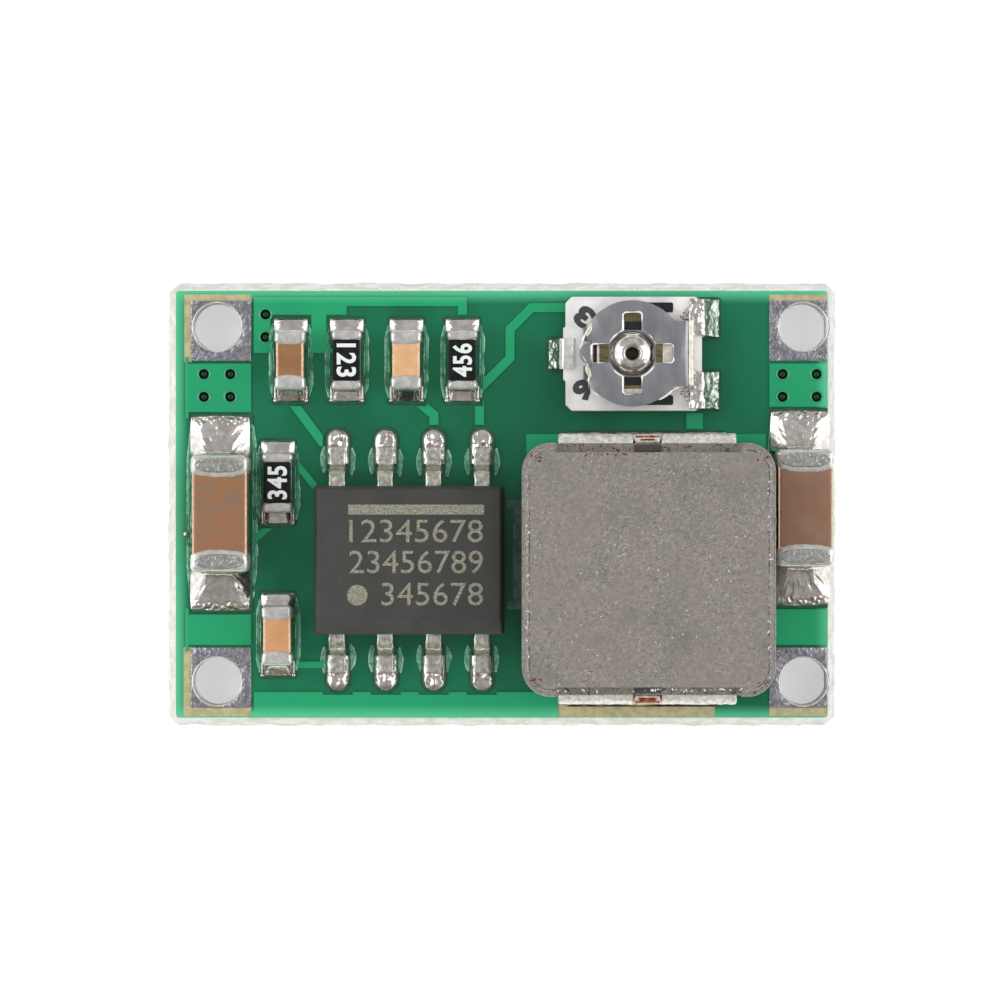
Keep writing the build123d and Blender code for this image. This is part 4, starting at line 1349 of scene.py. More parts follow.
@dataclass
class Board:
    """The masked laminate with its rim, openings and printed line.

    Attributes:
        rim_reach: How far the torn rim stands out from the mask.
        rim_step: Distance between stations along the rim.
        overlap: How far the rim reaches in under the mask.
        bevel: Height of the scored bevel above and below.
        flat_share: Share of the way out over which the rim is flat, before its bevel.
        tear: Depth of the rim's tearing.
        laminate_top: Height of the mask where no copper lies under it.
        via_reach: Radius of a via with its lip.
        via_columns: X of the grouped vias.
        via_rows: Y of the grouped vias.
        lone_via_x: X of the two lone vias.
        lone_via_rows: Y of the two lone vias.
        bare_strips: Ranges along X and Y of the strips beside the corner pads and under the
            inductor, where an opening of the mask is wider than the copper.
        strokes: Ranges along X and Y of the printed outline's strokes beside the chip.
    """

    rim_reach: float = 0.24
    rim_step: float = 0.04
    overlap: float = 0.04
    bevel: float = 0.3
    flat_share: float = 0.16
    tear: float = 0.07
    laminate_top: float = 0.96
    via_reach: float = 0.16
    via_columns: tuple[float, ...] = (-7.88, -7.18, 7.43, 8.33)
    via_rows: Range = (3.44, 2.84)
    lone_via_x: float = -6.25
    lone_via_rows: Range = (5.02, 4.42)
    bare_strips: tuple[tuple[Range, Range], ...] = (
        ((-8.40, -8.20), (3.76, 5.55)),
        ((-8.20, -6.62), (5.36, 5.55)),
        ((-8.42, -8.20), (-5.61, -3.78)),
        ((-8.20, -6.62), (-5.61, -5.36)),
        ((7.08, 8.61), (5.36, 5.545)),
        ((7.08, 8.61), (-5.60, -5.36)),
        ((1.46, 5.64), (-5.63, -5.30)),
    )
    strokes: tuple[tuple[Range, Range], ...] = (
        ((0.30, 0.54), (-2.77, 0.11)),
        ((0.13, 0.30), (-0.12, 0.11)),
        ((0.13, 0.30), (-2.77, -2.55)),
    )

    def build(self) -> None:
        """Makes the masked core, the rim, the openings and the printed line."""
        core = copied(BOARD).warped(self.trim)
        finished("masked_board", core, SOLDER_MASK, stands_for=BOARD, sharp=20)
        finished("snapped_rim", self.rim(), FIBRE_RIM, sharp=SOFT)
        for name, finish, bars, proud in (
            ("bare_laminate_margins", BARE_LAMINATE, self.bare_strips, 0.006),
            # The printed outline is painted darker for the shade that falls on it.
            ("printed_outline", SHADED_SILK_LINE, self.strokes, 0.012),
        ):
            z = (self.laminate_top - 0.01, self.laminate_top + proud)
            finished(name, joined(bar(x, y, z) for x, y in bars), finish)
        self.vias()

    def vias(self) -> None:
        """Plugs the vias with mask and gives each its sagged lip."""
        reach = self.via_reach
        spots = [(x, y) for x in self.via_columns for y in self.via_rows]
        spots += [(self.lone_via_x, y) for y in self.lone_via_rows]
        lips = Rings("via_lips", MASK_LIP, {"Radius": reach, "Wire": 0.03})
        lips.build([(x, y, BOARD_TOP - 0.012) for x, y in spots])
        height = (0.3, BOARD_TOP - 0.05)
        plugs = [
            lump(about(x, reach), about(y, reach), height, reach, 0.05)
            for x, y in spots
        ]
        finished("via_plugs", joined(plugs), VIA_PLUG, sharp=SOFT)

    def trim(self, point: Vector) -> Vector:
        """Gives the place within the masked face that is nearest to a corner of the board."""
        x = within(point.x, -MASK_HALF_X, MASK_HALF_X)
        return Vector((x, within(point.y, -MASK_HALF_Y, MASK_HALF_Y), point.z))

    def stations(self) -> list[tuple[Vector, Vector]]:
        """Walks round the rim.

        Returns:
            For each station, its place on the inner outline and the way out from it.
        """
        half_x, half_y = MASK_HALF_X - self.overlap, MASK_HALF_Y - self.overlap
        out = self.rim_reach + self.overlap
        stations: list[tuple[Vector, Vector]] = []
        for start, way, length in (
            (Vector((half_x, -half_y)), Vector((0, 1)), 2 * half_y),
            (Vector((half_x, half_y)), Vector((-1, 0)), 2 * half_x),
            (Vector((-half_x, half_y)), Vector((0, -1)), 2 * half_y),
            (Vector((-half_x, -half_y)), Vector((1, 0)), 2 * half_x),
        ):
            away = Vector((way.y, -way.x))
            count = round(length / self.rim_step)
            for number in range(count):
                stations.append((start + way * (length * number / count), away * out))
            for step in range(1, 5):
                turned = away.lerp(way, 0.2 + 0.15 * step)
                stations.append((start + way * length, turned * out))
        return stations

    def rim(self) -> Shape:
        """Sweeps the scored and torn edge round the board.

        Returns:
            The closed ring.
        """
        low, high = Span.of(BOARD).low.z + 0.045, self.laminate_top
        skin, bevel, flat = high - 0.002, self.bevel, self.flat_share
        slope = 1 - flat
        profile = [(0.0, high - 0.05), (flat, skin)]
        profile += [(flat + slope * t / 5, skin - bevel * t / 5) for t in range(1, 6)]
        profile += [(1.0, high - bevel - bevel * t / 4) for t in range(1, 4)]
        profile += [(1.0 - slope * t / 4, low + bevel - bevel * t / 4) for t in range(5)]
        profile += [(0.0, low + 0.05)]
        sections = []
        for base, away in self.stations():
            section = []
            for share, height in profile:
                place = base + away * share
                spot = (place.x, place.y, height)
                torn = max(0.0, (share - 0.5) * 2) * self.tear
                pull = 0.45 + 0.6 * wander(spot, 0.45, 3) + 0.35 * wander(spot, 0.09, 4)
                crumb = 0.012 * wander(spot, 0.09, 5) if 0.2 < share < 0.95 else 0.0
                inward = away.normalized() * -(torn * max(0.0, pull))
                section.append((place.x + inward.x, place.y + inward.y, height + crumb))
            sections.append(section)
        return swept(sections)


# Chip parts


@dataclass
class ChipPart:
    """A two-ended part that lies along Y on two pads.

    Attributes:
        name: Name of the part, which its solids' names start with.
        body_finish: Finish of the ceramic body.
        band: Length of an end cap.
        seed: Picks the noise of this part.
        spacing: Distance between the corners of lumpy skins.
        large: Whether it is one of the two big capacitors.
        pad_shift: How far its solder lies beside its middle.
        digits: What is printed on it.
        digit_turn: Degrees that the printing is turned by.
    """

    name: str
    body_finish: Finish
    band: float
    seed: int
    spacing: float = 0.035
    large: bool = False
    pad_shift: float = 0.0
    digits: str = ""
    digit_turn: float = 0.0

    def __post_init__(self) -> None:
        """Reads the boxes of its end caps and its solder, and names its body."""
        self.caps = Span.of(f"{self.name}_end_caps")
        self.solder = Span.of(f"{self.name}_solder")
        self.body = "substrate" if self.digits else "ceramic"

    def dress(
        self, piece: str, shape: Shape, finish: Finish, node: str = "", sharp: float = SOFT
    ) -> None:
        """Finishes one piece of the part.

        Args:
            piece: What the piece's name adds to the part's.
            shape: Its surface.
            finish: What it is finished in.
            node: What the name of the solid that it stands for adds, if there is one.
            sharp: Edges that turn by more than this many degrees stay crisp.
        """
        stands_for = f"{self.name}_{node}" if node else ""
        finished(f"{self.name}_{piece}", shape, finish, stands_for=stands_for, sharp=sharp)

    def build(self) -> None:
        """Makes the body, the end caps, the solder, any printing and the flux."""
        body = copied(f"{self.name}_{self.body}").eased(0.07 if self.large else 0.045, 3)
        self.dress("body", body.warped(self.drawn_in), self.body_finish, self.body, CRISP)
        if not self.digits:
            # Painted highlights along the body's two long top edges.
            self.dress("painted_highlight_edges", self.painted_highlight_edges(), CERAMIC_EDGE_HIGHLIGHT)
        self.dress("terminations", joined(map(self.end_cap, End)), END_CAP_TIN, "end_caps")
        self.dress("fillets", self.fillets(), SOLDER, "solder")
        if self.digits:
            glass = copied(f"{self.name}_overcoat").eased(0.05, 3)
            self.dress("glass", glass, OVERCOAT, "overcoat", CRISP)
            span = Span.of(f"{self.name}_overcoat")
            middle = (span.middle.x, span.middle.y, span.high.z + 0.004)
            code = lettering(self.digits, 0.88, 0.52, middle, self.digit_turn, 0.02)
            self.dress("code", code, INK_WHITE, sharp=CRISP)
        if self.large:
            self.dress("pebbles", joined(map(self.pebbles, End)), PEBBLED_TIN)
        self.flux()

    def drawn_in(self, point: Vector) -> Vector:
        """Holds a corner of the body back from the outer faces of its end caps.

        Args:
            point: The corner.

        Returns:
            Its new place.
        """
        back = 0.3 * self.band
        y = within(point.y, self.caps.low.y + back, self.caps.high.y - back)
        return Vector((point.x, y, point.z))

    def painted_highlight_edges(self) -> Shape:
        """Makes the painted highlights along both sides of the ceramic body.

        Returns:
            Two thin bars in its rounded edges.
        """
        body = Span.of(f"{self.name}_ceramic")
        wide = 0.05 if self.large else 0.065
        y = (self.caps.low.y + 0.5 * self.band, self.caps.high.y - 0.5 * self.band)
        z = (body.high.z - 0.075, body.high.z - 0.008)
        bars = []
        for side in (-1, 1):
            x = body.middle.x + side * (body.size.x / 2 - 0.48 * wide)
            edge = lump(about(x, wide / 2), y, z, 0.02, 0.03)
            bars.append(edge.roughened(0.006, 0.12, self.seed))
        return joined(bars)

    def pebbles(self, end: End) -> Shape:
        """Makes the lens of pebbled tin on one end cap.

        Args:
            end: Which end of the part.

        Returns:
            A thin lens.
        """
        caps = self.caps
        middle_y = end.face(caps) - end.value * 0.53 * self.band

        def surface(u: float, v: float) -> Spot:
            """Gives a place of the lens.

            Args:
                u: Place across, -1 to 1.
                v: Place along, 0 to 1.

            Returns:
                The place.
            """
            x = caps.middle.x + 0.86 * u * caps.size.x / 2
            y = middle_y + (2 * v - 1) * 0.37 * self.band * (1 - abs(u) ** 3.2) ** 0.5
            rim = min(1.0, 4 * (1 - abs(2 * v - 1))) * min(1.0, 6 * (1 - abs(u)))
            bump = 0.014 * wander((x, y, 0), 0.085, self.seed)
            return x, y, caps.high.z + 0.004 + (0.012 + bump) * rim

        return relief(surface, caps.high.z - 0.05, 44, 16)

    def flux(self) -> None:
        """Lays the wrinkled edges of the dried flux along both long sides."""
        caps, solder, foot = self.caps, self.solder, BOARD_TOP - 0.02
        lanes: dict[str, list[list[Spot]]] = {"edge": [], "glaze": []}
        folds = (("edge", 0.06, 0.97), ("glaze", 0.11, 0.9), ("edge", 0.16, 0.88))
        for side in (-1, 1):
            for lane, gap, share in folds:
                x = caps.middle.x + side * (caps.size.x / 2 + gap)
                if abs(x) > MASK_END - 0.02:
                    continue
                half = solder.size.y / 2 * share
                shift = 0.10 * wander((x, caps.middle.y, 0), 0.3, self.seed)
                path = []
                for step in range(17):
                    t = step / 8 - 1
                    pinch = side * 0.09 * max(0.0, abs(t) - 0.65) / 0.35
                    path.append((x - pinch, solder.middle.y + shift + half * t, foot))
                lanes[lane].append(path)

        def settled(point: Vector) -> Vector:
            """Gives the place of a corner when the film is flattened towards the mask."""
            return Vector((point.x, point.y, foot + (point.z - foot) * 0.6))

        for lane, finish, thick in (("edge", FLUX_FILM, 0.029), ("glaze", FLUX_GLAZE, 0.055)):
            sizes = {"Step": 0.04, "Thick": thick, "Sway": 0.07, "Patch": 0.5}
            film = Ridges(f"{self.name}_flux_{lane}", finish, sizes, self.seed)
            film.build(*lines(lanes[lane]), rule=settled)

    def end_cap(self, end: End) -> Shape:
        """Makes one bulging end cap.

        Args:
            end: Which end of the part.

        Returns:
            The cap, solid through, with a skin that bumps gently.
        """
        span = self.caps
        radius, bulge = (0.15, 0.13) if self.large else (0.11, 0.05)
        outer = end.face(span)
        inner = outer - end.value * self.band

        def swell(point: Vector) -> Vector:
            """Bows the inner edge of the cap over the body.

            Args:
                point: The corner.

            Returns:
                Its new place.
            """
            share = abs(point.y - inner) / self.band
            across = (point.x - span.middle.x) / (span.size.x / 2)
            bow = bulge * (1 - across**2) * max(0.0, 1 - share)
            ragged = 0.014 * wander(point, 0.12, self.seed) * max(0.0, 1 - 2 * share)
            return Vector((point.x, point.y - end.value * (bow + ragged), point.z))

        x, z = (span.low.x, span.high.x), (span.low.z, span.high.z)
        cap = lump(x, sorted((outer, inner)), z, radius, self.spacing)
        return cap.warped(swell).roughened(0.014, 0.22, self.seed + end.value)

    def fillets(self) -> Shape:
        """Makes the solder at both ends.

        Returns:
            The two fillets, each from its end cap down to its pad, and any threads.
        """
        half = max(self.solder.size.x, self.caps.size.x) / 2 + (0.04 if self.large else 0.05)
        parts = [self.fillet(end, half) for end in End]
        return joined(parts if self.large else [*parts, self.feet(half)])

    def feet(self, half: float) -> Shape:
        """Makes the two bright threads of solder that end in a bead at the lower corners.

        Args:
            half: Half of the solder's width.

        Returns:
            Two threads and two beads.
        """
        y = self.solder.low.y + 0.05
        thread, bead = (self.caps.low.y + 0.12 - y, 0.028, 0.06), (0.055, 0.055, 0.11)
        bits = []
        for side in (-1, 1):
            x = self.caps.middle.x + side * (half - 0.04)
            for reach, wide, tall in (thread, bead):
                z = (BOARD_TOP - 0.02, BOARD_TOP + tall)
                bits.append(lump(about(x, wide), (y - wide, y + reach), z, 0.95 * wide, 0.02))
        return joined(bits).roughened(0.012, 0.1, self.seed)

    def fillet(self, end: End, half: float) -> Shape:
        """Makes the solder that runs from an end cap down to its pad.

        A large part's is wide with radiating folds, and a small part's lower one is steep.

        Args:
            end: Which end of the part.
            half: Half of the solder's width.

        Returns:
            The fillet.
        """
        large, seed = self.large, self.seed + 3 * end.value
        steep = end is End.BOTTOM and not large
        half *= 0.86 if steep else 1.0
        middle_x, face_y = self.caps.middle.x + self.pad_shift, end.face(self.caps)
        start = face_y - end.value * 0.05
        length = abs(end.face(self.solder) - start)
        depth, frayed, rise = (0.05, 0.06, 0.6) if large else (0.008, 0.012, 1.9 if steep else 0.5)
        height = min(self.solder.high.z - BOARD_TOP, rise * length)
        bend = 0.35 * wander((middle_x, face_y, 0), 1.0, seed + 7)

        def surface(u: float, v: float) -> Spot:
            """Gives a place of the solder's surface.

            Args:
                u: Place across, -1 to 1.
                v: Place along, 0 to 1.

            Returns:
                The place.
            """
            x = middle_x + u * half * (1 - 0.05 * v**6)
            y = start + end.value * length * v * (1 - 0.04 * u * u * v)
            shoulder = 0.62 + 0.3 * math.copysign(bend, u) - 0.25 * v if large else 0.5
            side = min(1.0, (1 - abs(u)) / shoulder)
            edge = side * (1.35 - 0.35 * side if large else 2 - side)
            climb = 0.42 * math.exp(-v / 0.07) + 0.52 * max(0.0, 1 - v) ** 1.25
            swell = max(0.0, math.sin(math.pi * v)) ** 0.6
            angle = math.atan2(u * half, length * (0.25 + v))
            polar = (angle * 1.5 + bend * v, v * 0.5, seed * 1.7)
            crease = 0.4 * depth - depth * abs(wander(polar, 0.3, seed))
            crease -= 0.45 * depth * abs(wander(polar, 0.13, seed + 1))
            crumbs = within((v - 0.74) / 0.12, 0.0, 1.0)
            crease = crease * swell + frayed * wander((x, y, 0), 0.085, seed + 2) * crumbs
            toe = 0.05 * min(1.0, 9 * (1 - v))
            z = BOARD_TOP + edge * (height * (climb + 0.05 * swell) + crease + toe)
            return x, y, max(BOARD_TOP + 0.004, z)

        steps = 64 if large else 34
        return relief(surface, BOARD_TOP - 0.004, steps, steps)


# Converter chip


@dataclass
class ConverterChip:
    """The eight-lead converter chip.

    Attributes:
        pitch: Distance between leads.
        per_side: Leads on each side.
        bar_x: Laser bar's range along X.
        bar_y: Laser bar's range along Y.
        dot: X, Y and radius of the laser dot.
        digit_height: Height of the marked digits.
        toe_half: Half width of the solder at a toe.
        toe_height: Its height.
        flux_gap: How far a crescent of flux starts from the middle of its lead.
        flux_bow: How far the crescent bows outwards.
        flux_length: Its length.
    """

    pitch: float = 1.27
    per_side: int = 4
    bar_x: Range = (-4.02, -0.46)
    bar_y: Range = (-0.27, -0.01)
    dot: Spot = (-3.78, -2.38, 0.27)
    digit_height: float = 0.6
    toe_half: float = 0.3
    toe_height: float = 0.11
    flux_gap: float = 0.36
    flux_bow: float = 0.09
    flux_length: float = 0.72

    def __post_init__(self) -> None:
        """Reads the box of its leads, and works out each one's middle along X."""
        self.leads = Span.of("chip_leads")
        middle = (self.per_side - 1) / 2
        self.columns = [
            self.leads.middle.x + (number - middle) * self.pitch for number in range(self.per_side)
        ]

    def build(self) -> None:
        """Makes the body, its marking, the leads and their solder."""
        body = copied("chip_body").eased(0.05, 3)
        finished("chip_moulding", body, MOULDING, stands_for="chip_body")
        leads = copied("chip_leads").reskinned(0.032).roughened(0.022, 0.17, 5)
        finished("gull_wing_leads", leads, LEAD_TIN, stands_for="chip_leads", sharp=SOFT)
        domes = joined(self.dome(end, number) for end in End for number in range(self.per_side))
        finished("toe_solder", domes, SOLDER, stands_for="chip_solder", sharp=SOFT)
        self.marking()
        self.flux()

    def flux(self) -> None:
        """Lays a pale crescent of dried flux on both sides of every lead."""
        paths, pools = [], []
        for end in End:
            toe = end.face(self.leads)
            for x in self.columns:
                for side in (-1, 1):
                    slip = 0.12 * wander((x, toe, side), 0.4, 3)
                    path = []
                    for step in range(9):
                        t = step / 8
                        out = self.flux_gap + self.flux_bow * math.sin(math.pi * t)
                        y = toe - end.value * (0.05 + self.flux_length * t + slip)
                        path.append((x + side * out, y, BOARD_TOP - 0.03))
                    paths.append(path)
                    pools.append(self.pool(path, -side))
        sizes = {"Step": 0.04, "Thick": 0.04, "Sway": 0.06, "Patch": 0.35}
        Ridges("lead_flux", FLUX_FILM, sizes, 4).build(*lines(paths))
        finished("lead_flux_pools", joined(pools), FLUX_POOL, sharp=SOFT)

    def pool(self, path: Sequence[Spot], inward: int) -> Shape:
        """Fills the inside of one crescent with milky flux.

        Args:
            path: The crescent's outer edge.
            inward: Which way along X its lead lies.

        Returns:
            A thin closed pool.
        """
        start, end = path[0], path[-1]
        broad = 0.17 + 0.05 * wander(start, 0.4, 9)

        def surface(u: float, v: float) -> Spot:
            """Gives a place of the pool, which is widest in its middle.

            Args:
                u: Place across, -1 to 1.
                v: Place along, 0 to 1.

            Returns:
                The place.
            """
            bow = abs(path[len(path) // 2][0] - start[0]) * math.sin(math.pi * v)
            wide = broad * math.sin(math.pi * (0.04 + 0.92 * v)) ** 0.8
            x = start[0] - inward * bow + inward * wide * (u + 1) / 2
            y = start[1] + (end[1] - start[1]) * v
            swell = 0.012 * (1 - u * u) + 0.006 * wander((x, y, 0), 0.12, 9)
            return x + 0.02 * wander((x, y, 0), 0.15, 5), y, BOARD_TOP - 0.035 + max(0.0, swell)

        return relief(surface, BOARD_TOP - 0.045, 8, 18)

    def marking(self) -> None:
        """Burns the bar, the dot and rows of plain digits into the top."""
        z = Span.of("chip_body").high.z + 0.002
        depth = (z - 0.01, z + 0.004)
        middle_x = (self.bar_x[0] + self.bar_x[1]) / 2
        x, y, radius = self.dot
        angles = [number * math.pi / 16 for number in range(32)]
        dot = [(x + radius * math.cos(angle), y + radius * math.sin(angle)) for angle in angles]
        rows = [
            lettering(text, width, self.digit_height, (middle_x + shift, row, z))
            for text, width, shift, row in (
                ("12345678", 3.5, 0.0, -0.70), ("23456789", 3.5, 0.0, -1.51),
                ("345678", 2.66, 0.42, -2.35),
            )
        ]
        marks = [bar(self.bar_x, self.bar_y, depth), *rows[:2], plate(dot, *depth), rows[2]]
        finished("laser_marking", joined(marks), LASER_MARK)

    def dome(self, end: End, number: int) -> Shape:
        """Makes the dome of solder at the toe of a lead.

        Args:
            end: The chip's side.
            number: Which lead of that side.

        Returns:
            The dome.
        """
        near = end.face(self.leads) - end.value * 0.5
        far = end.face(Span.of("chip_solder"))
        seed = number + 5 * end.value

        def surface(u: float, v: float) -> Spot:
            """Gives a place of the dome, which is round in plan at its tip.

            Args:
                u: Place across, -1 to 1.
                v: Place along, 0 to 1.

            Returns:
                The place.
            """
            round_off = max(0.0, (v - 1) * abs(far - near) / self.toe_half + 1)
            half = self.toe_half * math.sqrt(max(0.004, 1 - round_off**2))
            x, y = self.columns[number] + u * half, near + (far - near) * v
            crumple = 0.06 * wander((x, y, 0), 0.13, seed)
            height = (self.toe_height + crumple) * (1 - abs(u) ** 5) * (1 - round_off**3)
            return x, y, BOARD_TOP + 0.012 + height

        return relief(surface, BOARD_TOP - 0.01, 20, 22)


# Power inductor


@dataclass
class PowerInductor:
    """The pressed inductor with its folded straps.

    Attributes:
        corner: Radius of the core's upright edges.
        bevel: Width of the bevel round its top.
        recess_width: Width of the step in its wall over a strap.
        recess_depth: Depth of that step.
        ledge_height: Height of the step's ledge over the board.
        notch_half: Half width of the notch round a wire end.
        wire_top: Height of a wire end's upper face.
    """

    corner: float = 0.75
    bevel: float = 0.14
    recess_width: float = 4.8
    recess_depth: float = 0.25
    ledge_height: float = 1.45
    notch_half: float = 0.36
    wire_top: float = 2.36

    def __post_init__(self) -> None:
        """Reads the core's box."""
        self.core = Span.of("inductor_core")

    def build(self) -> None:
        """Makes the core, the straps, the wire, the solder, the wear and the painted light and shade."""
        core = copied("inductor_core").eased(0.05, 2)
        finished("pressed_core", core, PRESSED_IRON, stands_for="inductor_core")
        straps = copied("inductor_straps").reskinned(0.035).roughened(0.024, 0.2, 8)
        finished("folded_straps", straps, STRAP_TIN, stands_for="inductor_straps", sharp=SOFT)
        wire = copied("inductor_winding")
        finished("copper_winding", wire, COPPER_WIRE, stands_for="inductor_winding")
        solder = copied("inductor_solder").reskinned(0.04).roughened(0.03, 0.25, 9)
        finished("strap_solder", solder, SOLDER, stands_for="inductor_solder", sharp=SOFT)
        self.edge_light_and_shade()
        self.top_wear_and_glints()
        self.ledge_wear_and_shade()
        self.wire_ends()

    def edge_light_and_shade(self) -> None:
        """Paints a highlight along the core's upper edge, with glints and a line of painted shade inside it."""
        # A painted highlight on the bevel, painted glints inside it and a line of painted shade further in.
        for name, finish, inset, sink, thick in (
            ("core_edge_highlight", PALE_GRIT_AND_HIGHLIGHT, 0.03, self.bevel - 0.035, 0.024),
            ("core_edge_glints", PALE_GRIT_AND_HIGHLIGHT, self.bevel + 0.01, 0.006, 0.024),
            ("core_edge_shade_line", DARK_SCUFF_AND_SHADE, self.bevel + 0.05, 0.008, 0.018),
        ):
            outline = round_corners(self.core, -inset, self.corner - inset)
            path = [(x, y, self.core.high.z - sink) for x, y in (*outline, outline[0])]
            sizes = {"Step": 0.03, "Thick": thick, "Sway": 0.05, "Patch": 0.13}
            Ridges(name, finish, sizes, 6).build(*lines([path]), rule=self.off_ledges)

    def off_ledges(self, point: Vector) -> Vector:
        """Keeps the painted edge lines on the core where its wall steps back over the straps.

        Args:
            point: The corner.

        Returns:
            Its new place.
        """
        core, back = self.core, self.recess_depth + 0.05
        if abs(point.x - core.middle.x) < self.recess_width / 2 + 0.02:
            y = within(point.y, core.low.y + back, core.high.y - back)
            return Vector((point.x, y, core.high.z - 0.01 if y != point.y else point.z))
        return point

    def top_wear_and_glints(self) -> None:
        """Strews painted glints, grit and scuffs over the top, and painted glints and rust along its edges."""
        low, high = self.core.low, self.core.high
        z = high.z - 0.003
        face = [patch((low.x + 0.25, high.x - 0.25), (low.y + 0.3, high.y - 0.3), z)]
        # Painted glints over the top, with pale grit and dark scuffs.
        strewn("core_glints", PAINTED_GLINT, face, 4.5, (0.006, 0.016), 0.4, 5)
        strewn("core_grit", PALE_GRIT_AND_HIGHLIGHT, face, 9.0, (0.006, 0.018), 0.3, 7)
        strewn("core_scuffs", DARK_SCUFF_AND_SHADE, face, 16.0, (0.008, 0.022), 0.2, 15)
        inset = self.bevel + 0.03
        edge = [
            patch((low.x + inset - 0.05, low.x + inset + 0.02), (low.y + 0.5, high.y - 0.7), z),
            patch((high.x - inset - 0.04, high.x - inset + 0.03), (low.y + 0.5, high.y - 0.5), z),
            patch((low.x + 0.9, high.x - 0.9), (low.y + inset - 0.03, low.y + inset + 0.04), z),
        ]
        # Painted glints along the left, right and near edges.
        strewn("edge_glints", PAINTED_GLINT, edge, 85.0, (0.009, 0.024), 0.5, 25)
        reach, half = 0.36, 0.13
        corners = [
            patch(about(x, half), about(y, half), z)
            for x in (low.x + reach, high.x - reach)
            for y in (low.y + reach, high.y - reach)
        ]
        corners += [
            patch((high.x - 1.1, high.x - 0.5), (low.y + 0.10, low.y + 0.2), z - 0.02),
            patch((low.x + 0.9, low.x + 3.4), (high.y - 0.33, high.y - 0.29), z),
        ]
        strewn("corner_rust", RUST, corners, 110.0, (0.010, 0.032), 0.3, 35)

    def ledge_wear_and_shade(self) -> None:
        """Dirties the ledges over the straps, strews painted glints on them and paints shade into the notches
        round the wire ends.
        """
        core = self.core
        half = self.recess_width / 2 - 0.05
        ledge = BOARD_TOP + self.ledge_height
        x = core.middle.x
        ledges = [
            patch(about(x, half), about(y, 0.1), ledge + 0.002)
            for y in (core.low.y + 0.13, core.high.y - 0.13)
        ]
        strewn("ledge_scuffs", DARK_SCUFF_AND_SHADE, ledges, 55.0, (0.010, 0.026), 0.2, 45)
        # Painted glints on the ledges.
        strewn("ledge_glints", PALE_GRIT_AND_HIGHLIGHT, ledges, 70.0, (0.008, 0.02), 0.4, 55)
        # Painted shade in the notches round the wire ends.
        notch, height = about(x, self.notch_half), (ledge - 0.05, ledge + 0.03)
        shades = [
            lump(notch, about(y, 0.11), height, 0.03, 0.04).roughened(0.02, 0.1, 3)
            for y in (core.high.y - 0.13, core.low.y + 0.15)
        ]
        finished("notch_shades", joined(shades), DARK_SCUFF_AND_SHADE, sharp=SOFT)

    def wire_ends(self) -> None:
        """Tins both wire ends, and bares a slit in the far one and a band in the near one."""
        wire = Span.of("inductor_winding")
        both = (End.TOP, End.BOTTOM)
        for name, finish, ends, half, near, far, proud in (
            ("tinned_wire_ends", STRAP_TIN, both, 0.325, 0.05, 0.19, 0.02),
            ("bare_wire_slit", RUST, both[:1], 0.19, 0.085, 0.135, 0.035),
            ("bare_wire_band", COPPER_WIRE, both[1:], 0.25, 0.03, 0.13, 0.035),
        ):
            x = about(self.core.middle.x, half)
            z = (self.wire_top - 0.04, self.wire_top + proud)
            bits = []
            for end in ends:
                y = sorted(end.face(wire) - end.value * depth for depth in (near, far))
                bits.append(lump(x, y, z, 0.02, 0.025).roughened(0.012, 0.09, 5))
            finished(name, joined(bits), finish, sharp=SOFT)


# Trimmer


def short_pad(point: Vector) -> Vector:
    """Draws what lies left of the trimmer in a little towards its base.

    Args:
        point: The corner.

    Returns:
        Its new place.
    """
    base = Span.of("trimmer_base")
    beside = base.low.x - 0.8 < point.x < base.low.x and abs(point.y - base.middle.y) < 1.0
    if not beside:
        return point
    return Vector((base.low.x + (point.x - base.low.x) * 0.82, *point[1:]))


